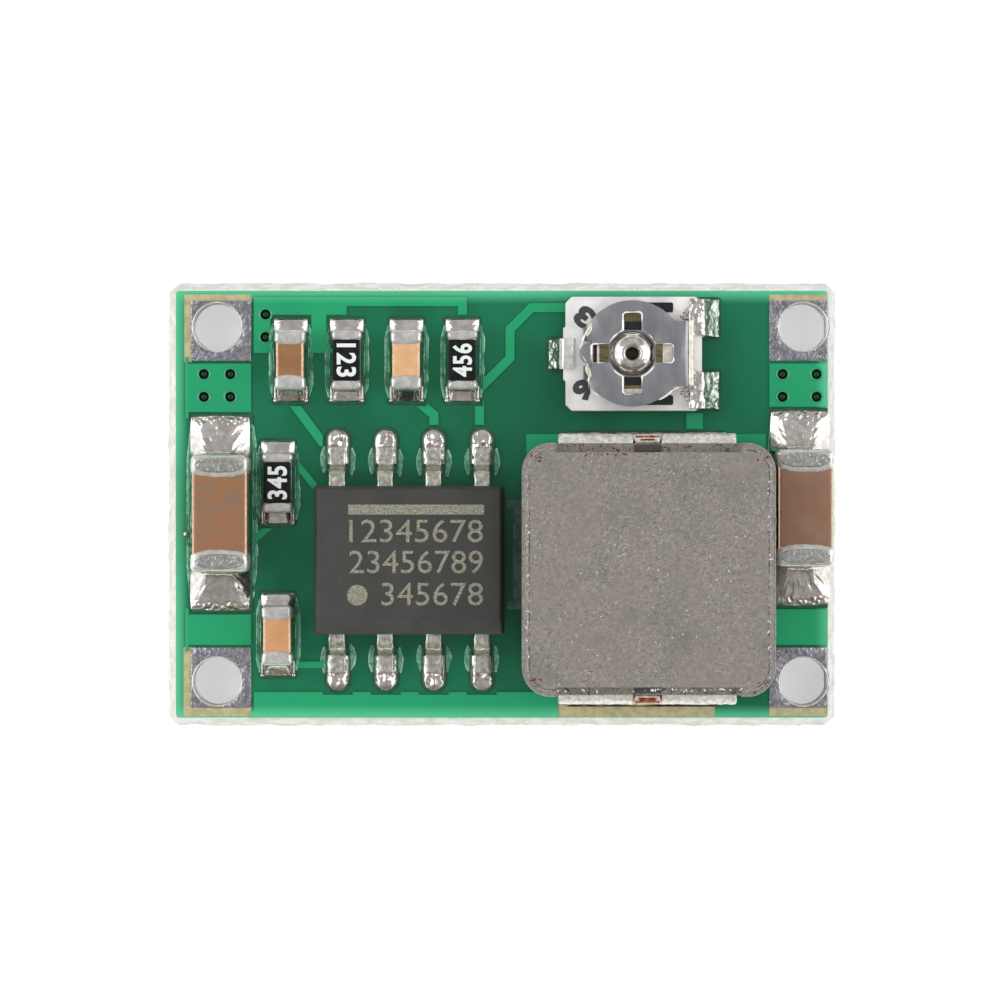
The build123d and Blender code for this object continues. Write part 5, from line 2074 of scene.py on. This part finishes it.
@dataclass
class OpenTrimmer:
    """The open trimmer, whose slotted rotor turns on an eyelet.

    Attributes:
        opening: Radius of the rotor's opening.
        arm_reach: How far a slot's arm reaches from the axis.
        arm_half: Half width of an arm.
        leaf_floor: Height of the lower leaf's upper face.
        leaf_top: Height of the upper leaf's upper face.
        fold_reach: How far the fold lies from the axis.
        fold_half: Half length of the fold.
        lip: Radius of the flared lip.
        bore: Radius of its bore.
        track_inner: Inner radius of the film.
        track_outer: Its outer radius.
        track_gap: Half of the angle that the film leaves open, in degrees.
        film_pad_x: Range along X of the film's end pads, from the axis.
        film_pad_y: Their range along Y, to either side of it.
        spattered: Ranges along X and Y, from the axis, of what solder spattered over beside
            an end terminal.
        tongue: Places along the edge of the contact tongue, from the axis.
        rim: Places along the part of the sheet's rim that carries a painted highlight.
        petals: Place from the axis and turn in degrees of the spring's two petals.
    """

    opening: float = 0.655
    arm_reach: float = 1.08
    arm_half: float = 0.25
    leaf_floor: float = 1.99
    leaf_top: float = 2.17
    fold_reach: float = 1.52
    fold_half: float = 0.88
    lip: float = 0.58
    bore: float = 0.2
    track_inner: float = 0.85
    track_outer: float = 1.14
    track_gap: float = 52.0
    film_pad_x: Range = (0.25, 1.08)
    film_pad_y: Range = (1.09, 1.35)
    spattered: tuple[tuple[Range, Range], ...] = (
        ((1.42, 1.82), (0.72, 1.22)), ((1.28, 1.5), (0.82, 1.12)),
    )
    tongue: tuple[tuple[float, float], ...] = (
        (-1.04, 0.82), (-1.16, 0.67), (-1.27, 0.45), (-1.36, 0.16), (-1.33, -0.05),
        (-1.2, -0.26), (-1.1, -0.48), (-1.15, -0.69), (-1.15, -0.86), (-1.04, -1.02),
        (-0.88, -1.12),
    )
    rim: tuple[tuple[float, float], ...] = (
        (0.70, -1.22), (0.88, -1.11), (1.04, -0.98), (1.22, -0.89),
    )
    petals: tuple[Spot, ...] = ((-1.14, 0.60, -24), (-1.16, -0.48, 22))

    def __post_init__(self) -> None:
        """Takes the rotor's axis from its joint, and reads the boxes that it needs."""
        place = frame["joints"][0]["pos_m"]
        self.axis = (place[0] / MM, place[1] / MM)
        self.base = Span.of("trimmer_base")
        self.eyelet_top = Span.of("trimmer_wiper_terminal").high.z

    def build(self) -> None:
        """Makes the base, the film, the terminals, the solder and the rotor."""
        for node, name, finish, edge in (
            ("trimmer_base", "ceramic_base", GLAZED_CERAMIC, 0.05),
            ("trimmer_wiper_terminal", "wiper_plate", PLATED_SHEET, 0.02),
        ):
            shape = copied(node).eased(edge, 2).warped(self.short_tab)
            finished(name, shape, finish, stands_for=node)
        finished("resistive_film", self.film(), CERMET, stands_for="trimmer_track")
        for node, name, finish in (
            ("trimmer_end_terminals", "lumpy_terminals", SOLDER),
            ("trimmer_solder", "terminal_solder", FLUXED_SOLDER),
        ):
            shape = copied(node).reskinned(0.024).warped(short_pad)
            shape = shape.roughened(0.05, 0.2, 12).roughened(0.014, 0.07, 13)
            finished(name, shape, finish, stands_for=node, sharp=SOFT)
        finished("flared_lip", self.flared_lip(), POLISHED_LIP, sharp=SOFT)
        # Painted shade: a dark knob in the eyelet's bore.
        floor = self.leaf_floor - 0.2
        knob = [
            (0.001, floor), (self.bore + 0.01, floor), (0.12, floor + 0.1), (0.001, floor + 0.22),
        ]
        finished("eyelet_bore_shade", lathe(knob, self.axis, 32), DARK_SCUFF_AND_SHADE)
        self.spatter()
        self.rotor()
        self.base_digits()

    def short_tab(self, point: Vector) -> Vector:
        """Draws the lone terminal's tab back a little, and the eyelet down under its lip.

        Args:
            point: The corner.

        Returns:
            Its new place.
        """
        low_x = self.base.low.x
        away = Vector((point.x - self.axis[0], point.y - self.axis[1]))
        if point.z > self.leaf_floor and away.length < self.lip + 0.1:
            place = Vector(self.axis) + 0.85 * away
            return Vector((*place, min(point.z, self.eyelet_top - 0.3)))
        if point.z > self.base.high.z and point.x < low_x + 0.6:
            return Vector((low_x + (point.x - low_x) * 0.8, *point[1:]))
        return point

    def film(self) -> Shape:
        """Draws the printed film: an open ring under the rotor and a square pad at each end.

        Returns:
            The film.
        """
        span = Span.of("trimmer_track")
        low, high = span.low.z, span.high.z
        x, y = self.axis
        shares = [step / 24 for step in range(25)]
        ring = []
        for reach, order in ((self.track_outer, shares), (self.track_inner, reversed(shares))):
            for share in order:
                angle = math.radians(self.track_gap + (360 - 2 * self.track_gap) * share)
                ring.append((x + reach * math.cos(angle), y + reach * math.sin(angle)))
        plates = [plate(ring, low, high)]
        left, right = self.film_pad_x
        for side in (-1, 1):
            near, far = sorted(y + side * edge for edge in self.film_pad_y)
            pad = Span(Vector((x + left, near, low)), Vector((x + right, far, high)))
            plates.append(plate(round_corners(pad, 0.0, 0.05), low, high))
        return joined(plates)

    def spatter(self) -> None:
        """Beads the solder that ran over the base beside the two end terminals."""
        x, y = self.axis
        spots = []
        for side in (-1, 1):
            for across, along in self.spattered:
                reach = sorted((y + side * along[0], y + side * along[1]))
                spots.append(patch((x + across[0], x + across[1]), reach, self.base.high.z + 0.01))
        strewn("solder_spatter", SOLDER, spots, 130.0, (0.02, 0.042), 0.9, 65)

    def flared_lip(self) -> Shape:
        """Turns the smooth lip of the eyelet.

        Returns:
            The lip.
        """
        top, foot, bore, lip = self.eyelet_top, self.leaf_floor + 0.03, self.bore, self.lip
        profile = [
            (bore, foot - 0.3), (bore, top - 0.03), (bore + 0.02, top + 0.004),
            (bore + 0.06, top + 0.004), (bore + 0.15, top - 0.035), (bore + 0.25, top - 0.09),
            (bore + 0.29, top - 0.16), (lip - 0.04, top - 0.2), (lip, top - 0.25), (lip, foot),
            (lip - 0.1, foot - 0.02),
        ]
        return lathe(profile, self.axis, 64).roughened(0.008, 0.3, 3)

    def rotor(self) -> None:
        """Dresses the rotor, paints shade and light into its slots, and paints highlights along its edges, on its
        fold and on its petals.
        """
        sheet = copied("trimmer_rotor").eased(0.015, 2)
        finished("slotted_rotor", sheet, ROTOR_STEEL, Body.ROTOR, stands_for="trimmer_rotor")
        low = self.leaf_floor - 0.01
        # Painted shade in the gaps, painted half-light on the steps and painted highlights on the leaves.
        for name, finish, steps in (
            ("painted_gap_shades", SPRING_GAP_SHADE, ((90, 0.62, 0.84), (270, 0.62, 0.84), (180, 0.93, 1.03))),
            (
                "half_lit_spring_steps", SPRING_HALF_LIT,
                ((90, 0.84, 1.08), (180, 0.62, 0.87), (0, 0.62, 0.80), (270, 0.84, 0.93)),
            ),
            (
                "lit_spring_leaves", SPRING_LIT,
                ((0, 0.80, 1.06), (270, 0.93, 1.06), (180, 0.87, 0.93), (180, 1.03, 1.07)),
            ),
        ):
            blocks = (
                bar((near, far), about(0.0, self.arm_half), (low, low + 0.03))
                .placed(turn, (*self.axis, 0)) for turn, near, far in steps
            )
            finished(name, joined(blocks), finish, Body.ROTOR)
        # Painted highlights along the edges of the upper leaf.
        sizes = {"Step": 0.03, "Thick": 0.031, "Sway": 0.02, "Patch": 0.4}
        edges = Ridges("painted_highlight_edges", SHEET_EDGE_HIGHLIGHT, sizes, 2)
        edges.build(*lines(self.edge_lines()), rides=Body.ROTOR)
        x, y = self.axis
        # A painted highlight along the fold.
        fold = lump(
            (x + self.fold_reach - 0.05, x + self.fold_reach + 0.09), about(y, self.fold_half),
            (self.leaf_floor - 0.08, self.leaf_top + 0.01), 0.07, 0.03,
        ).roughened(0.012, 0.3, 21)
        finished("fold_highlight", fold, SPRING_LIT, Body.ROTOR, sharp=SOFT)
        # Painted highlights on the spring's two petals.
        lens = lump(about(0.0, 0.07), about(0.0, 0.17), (0.0, 0.07), 0.06, 0.025).warped(
            lambda point: Vector((point.x * max(0.1, 1 - (point.y / 0.18) ** 2), *point[1:]))
        )
        z = self.leaf_top - 0.05
        leaves = [lens.placed(turn, (x + u, y + v, z)) for u, v, turn in self.petals]
        finished("spring_petals", joined(leaves), SPRING_LIT, Body.ROTOR, sharp=SOFT)

    def edge_lines(self) -> list[list[Spot]]:
        """Traces the painted highlights along the edges of the upper leaf.

        Returns:
            The outline of its crossed opening, the edge of its tongue and the highlighted part of its rim.
        """
        x, y = self.axis
        z = self.leaf_top - 0.006
        reach, half, clip = self.arm_reach, self.arm_half, 0.05
        inner = math.sqrt(self.opening**2 - half**2)
        start = math.degrees(math.atan2(half, inner))
        local = [(inner, -half), (reach - clip, -half), (reach, -half + 0.06)]
        local += [(reach, half - 0.06), (reach - clip, half), (inner, half)]
        for number in range(1, 6):
            angle = math.radians(start + (90 - 2 * start) * number / 6)
            local.append((self.opening * math.cos(angle), self.opening * math.sin(angle)))
        outline: list[Spot] = []
        for quarter in range(4):
            spin = Euler((0, 0, math.radians(90 * quarter))).to_matrix()
            spots = (spin @ Vector((u, v, 0)) for u, v in local)
            outline += [(x + spot.x, y + spot.y, z) for spot in spots]
        tongue = [(x + u, y + v, z - 0.02) for u, v in self.tongue]
        return [[*outline, outline[0]], tongue, [(x + u, y + v, z) for u, v in self.rim]]

    def base_digits(self) -> None:
        """Prints two plain digits on the base."""
        low, high = self.base.low, self.base.high
        z = high.z + 0.002
        digits = [
            lettering("3", 0.44, 0.58, (low.x + 0.54, high.y - 0.52, z), 140, 0.045),
            lettering("6", 0.46, 0.58, (low.x + 0.52, low.y + 0.54, z), 215, 0.045),
        ]
        finished("base_digits", joined(digits), INK_GREY)


# Pads


@dataclass
class TinnedCopper:
    """The corner terminals and the pads of the components.

    Attributes:
        border: Width of bare laminate round a pad.
        stray_balls: X, Y and radius of the solder balls that stuck to the mask.
    """

    border: float = 0.035
    stray_balls: tuple[Spot, ...] = (
        (-8.35, -0.79, 0.07), (-6.48, 1.33, 0.035), (-8.29, 0.88, 0.03),
    )

    def build(self) -> None:
        """Dresses the four terminals and the pads."""
        for end in ("input", "output"):
            for pole in ("ground", "positive"):
                node = f"{end}_{pole}_terminal"
                plating = copied(node).eased(0.012, 2)
                finished(f"{end}_{pole}_plating", plating, LEVELLED_TIN, stands_for=node)
        mounts = [mount for mount in frame["record"]["mounts"] if mount["kind"] == "bore"]
        centres = [(mount["pos_m"][0] / MM, mount["pos_m"][1] / MM) for mount in mounts]
        radius = mounts[0]["dims"]["r_mm"]
        for name, z, wire in (("upper_hole_lips", BOARD_TOP, 0.02), ("lower_hole_lips", 0.1, 0.03)):
            rings = Rings(name, PLATED_SHEET, {"Radius": radius + 0.005, "Wire": wire})
            rings.build([(x, y, z) for x, y in centres])
        self.pads()
        balls = [
            lump(
                about(x, radius), about(y, radius),
                (BOARD_TOP - 0.5 * radius, BOARD_TOP + 1.5 * radius), radius, 0.025,
            )
            for x, y, radius in self.stray_balls
        ]
        finished("stray_solder_balls", joined(balls), SOLDER, sharp=SOFT)

    def pads(self) -> None:
        """Lays the small pads, each in its dark opening."""
        islands = copied("component_pads").islands()
        for name, finish, grow, drop, node in (
            ("pads", FLUXED_TIN, 0.0, 0.0, "component_pads"),
            ("pad_borders", PAD_BORDER, self.border, 0.034, ""),
        ):
            plates = []
            for island in islands:
                corner = (0.3 if island.size.x < 0.7 else 0.06) + grow
                outline = [
                    (within(x, -MASK_END, MASK_END), y)
                    for x, y in round_corners(island, grow, corner)
                ]
                plates.append(plate(outline, island.low.z, island.high.z - drop))
            finished(name, joined(plates).warped(short_pad), finish, stands_for=node)


# Studio


@dataclass
class Studio:
    """Floor, lamps, sky and the camera of the photograph.

    Attributes:
        camera_place: X and Y of the optical axis and height of the camera, in millimetres.
        pixels_per_mm: Scale of the photograph at the board's face.
        frame_pixels: Width of the photograph.
        sensor: Width of the sensor, in millimetres.
        dimmed_glow_under: How brightly rays see the floor under the board, dimmed there as painted shade.
        glow_beside: How brightly they see it beside the board.
        floor_half: Half width of the floor, in metres.
        low_sky: Light of the sky low down, as linear red, green and blue.
        high_sky: Its light high up.
        far_sky: Its light beyond the board's far side.
        flank_sky: Its light at both flanks, which polished metal mirrors.
    """

    camera_place: Spot = (-0.033, 0.098, 141.0)
    pixels_per_mm: float = 37.8
    frame_pixels: int = 1001
    sensor: float = 36.0
    dimmed_glow_under: float = 0.41
    glow_beside: float = 0.6
    floor_half: float = 1.5
    low_sky: tuple[float, ...] = (0.21, 0.185, 0.135, 1)
    high_sky: tuple[float, ...] = (0.47, 0.47, 0.475, 1)
    far_sky: tuple[float, ...] = (0.70, 0.68, 0.68, 1)
    flank_sky: tuple[float, ...] = (1.25, 1.25, 1.26, 1)

    def build(self) -> None:
        """Sets up the floor, the lamps, the sky and the camera."""
        self.floor()
        self.sky()
        self.lamp("left_lamp", (-0.19, 0.03, 0.17), size=0.2, watts=0.19)
        self.lamp("right_lamp", (0.19, 0.03, 0.17), size=0.2, watts=0.16)
        self.lamp("far_lamp", (0.0, 0.2, 0.17), size=0.28, watts=0.105, mirrored=False)
        self.lamp("near_lamp", (0.0, -0.2, 0.15), size=0.2, watts=0.21, mirrored=False)
        self.camera()

    def camera(self) -> None:
        """Hangs the camera straight over the board."""
        lens = bpy.data.cameras.new("camera")
        lens.sensor_width = self.sensor
        away = self.camera_place[2] - Span.of(BOARD).high.z
        lens.lens = self.pixels_per_mm * away * self.sensor / self.frame_pixels
        lens.clip_start = 0.005
        lens.clip_end = 10.0
        camera = linked("camera", lens)
        camera.location = Vector(self.camera_place) * MM
        bpy.context.scene.camera = camera

    def lamp(
        self, name: str, place: Spot, size: float, watts: float, mirrored: bool = True
    ) -> None:
        """Hangs a soft lamp that faces the board.

        Args:
            name: Name of the lamp.
            place: Where it hangs, in metres.
            size: Its width, in metres.
            watts: Its power.
            mirrored: Whether polished metal shows it.
        """
        light = bpy.data.lights.new(name, "AREA")
        light.shape = "SQUARE"
        light.size = size
        light.energy = watts
        holder = linked(name, light)
        holder.location = place
        holder.visible_glossy = mirrored
        holder.rotation_euler = (-Vector(place)).to_track_quat("-Z", "Y").to_euler()

    def sky(self) -> None:
        """Makes a sky with two white flanks that is darker low down, so that metal has contrast."""
        world = bpy.data.worlds.new("soft_sky")
        bpy.context.scene.world = world
        world.use_nodes = True
        tree = world.node_tree
        tree.nodes.clear()
        way = add(tree, "ShaderNodeTexCoord").outputs["Generated"]
        axes = add(tree, "ShaderNodeSeparateXYZ", [way]).outputs
        upward = add(tree, RANGE, [axes[2], 0.1, 0.75], **SMOOTH)
        near = add(tree, RANGE, [axes[1], -0.7, -0.15, 0.7, 1.0], **SMOOTH)
        share = add(tree, MATH, [upward, near], operation="MULTIPLY")
        far = add(tree, RANGE, [axes[1], 0.3, 0.75, 0.0, 0.45], **SMOOTH)
        aside = add(tree, MATH, [axes[0]], operation="ABSOLUTE")
        flank = add(tree, RANGE, [aside, 0.6, 0.85], **SMOOTH)
        colour: tuple[float, ...] | Node = self.low_sky
        for part, light in ((share, self.high_sky), (far, self.far_sky), (flank, self.flank_sky)):
            colour = add(tree, MIX, {0: part, 6: colour, 7: light}, **COLOURS)
        sky = add(tree, "ShaderNodeBackground", {"Color": colour.outputs[2], "Strength": 1.0})
        add(tree, "ShaderNodeOutputWorld", {"Surface": sky})

    def floor(self) -> None:
        """Lays the white floor, which keeps the object's shadow, with its glow dimmed under the board as painted
        shade.
        """
        half = self.floor_half
        mesh = bpy.data.meshes.new("floor")
        mesh.from_pydata(patch(about(0, half), about(0, half), 0), [], [(0, 1, 2, 3)])
        material = bpy.data.materials.new("white_floor")
        material.use_nodes = True
        tree = material.node_tree
        tree.nodes.clear()
        rays = add(tree, "ShaderNodeLightPath").outputs
        seen = rays["Is Camera Ray"]
        for ray in ("Is Glossy Ray", "Is Transmission Ray"):
            seen = add(tree, MATH, [seen, rays[ray]], operation="MAXIMUM")
        place = add(tree, "ShaderNodeTexCoord").outputs["Object"]
        axes = add(tree, "ShaderNodeSeparateXYZ", [place]).outputs
        reach = []
        for axis in range(2):
            away = add(tree, MATH, [axes[axis]], operation="ABSOLUTE")
            scale = 1 / MM / Span.of(BOARD).high[axis]
            reach.append(add(tree, MATH, [away, scale], operation="MULTIPLY"))
        far = add(tree, MATH, reach, operation="MAXIMUM")
        # Less glow under the board: painted shade where the floor shows through the holes.
        glow = add(tree, RANGE, [far, 0.97, 1.0, self.dimmed_glow_under, self.glow_beside], **SMOOTH)
        shader = add(tree, "ShaderNodeBsdfPrincipled", {
            "Base Color": linear("D8D8D8"), "Roughness": 0.9, "Emission Color": (1, 1, 1, 1),
            "Emission Strength": add(tree, MATH, [seen, glow], operation="MULTIPLY"),
        })
        add(tree, "ShaderNodeOutputMaterial", {"Surface": shader})
        mesh.materials.append(material)
        linked("floor", mesh)


def chip_parts() -> list[ChipPart]:
    """Lists the chip capacitors and resistors.

    Returns:
        The eight parts.
    """
    large = {"large": True, "band": 0.52, "spacing": 0.05}
    return [
        ChipPart("input_capacitor", CERAMIC_LARGE, seed=11, pad_shift=-0.05, **large),
        ChipPart("output_capacitor", CERAMIC_MAUVE, seed=23, pad_shift=-0.07, **large),
        ChipPart("soft_start_capacitor", CERAMIC_BROWN, 0.36, seed=31),
        ChipPart("compensation_capacitor", CERAMIC_TAN, 0.36, seed=43),
        ChipPart("bootstrap_capacitor", CERAMIC_DEEP_TAN, 0.36, seed=51),
        ChipPart("compensation_resistor", ALUMINA, 0.25, seed=61, digits="123", digit_turn=-90),
        ChipPart("feedback_resistor", ALUMINA, 0.25, seed=71, digits="456", digit_turn=90),
        ChipPart("enable_resistor", ALUMINA, 0.25, seed=81, digits="345", digit_turn=90),
    ]


def main() -> None:
    """Builds the module's looks, then the studio."""
    logging.basicConfig(level=logging.INFO, format="%(name)s: %(message)s")
    for part in (
        Board(), TinnedCopper(), *chip_parts(), ConverterChip(), PowerInductor(), OpenTrimmer(),
        Studio(),
    ):
        part.build()
    bpy.context.scene.view_settings.view_transform = "Standard"


if __name__ == "__main__":
    main()
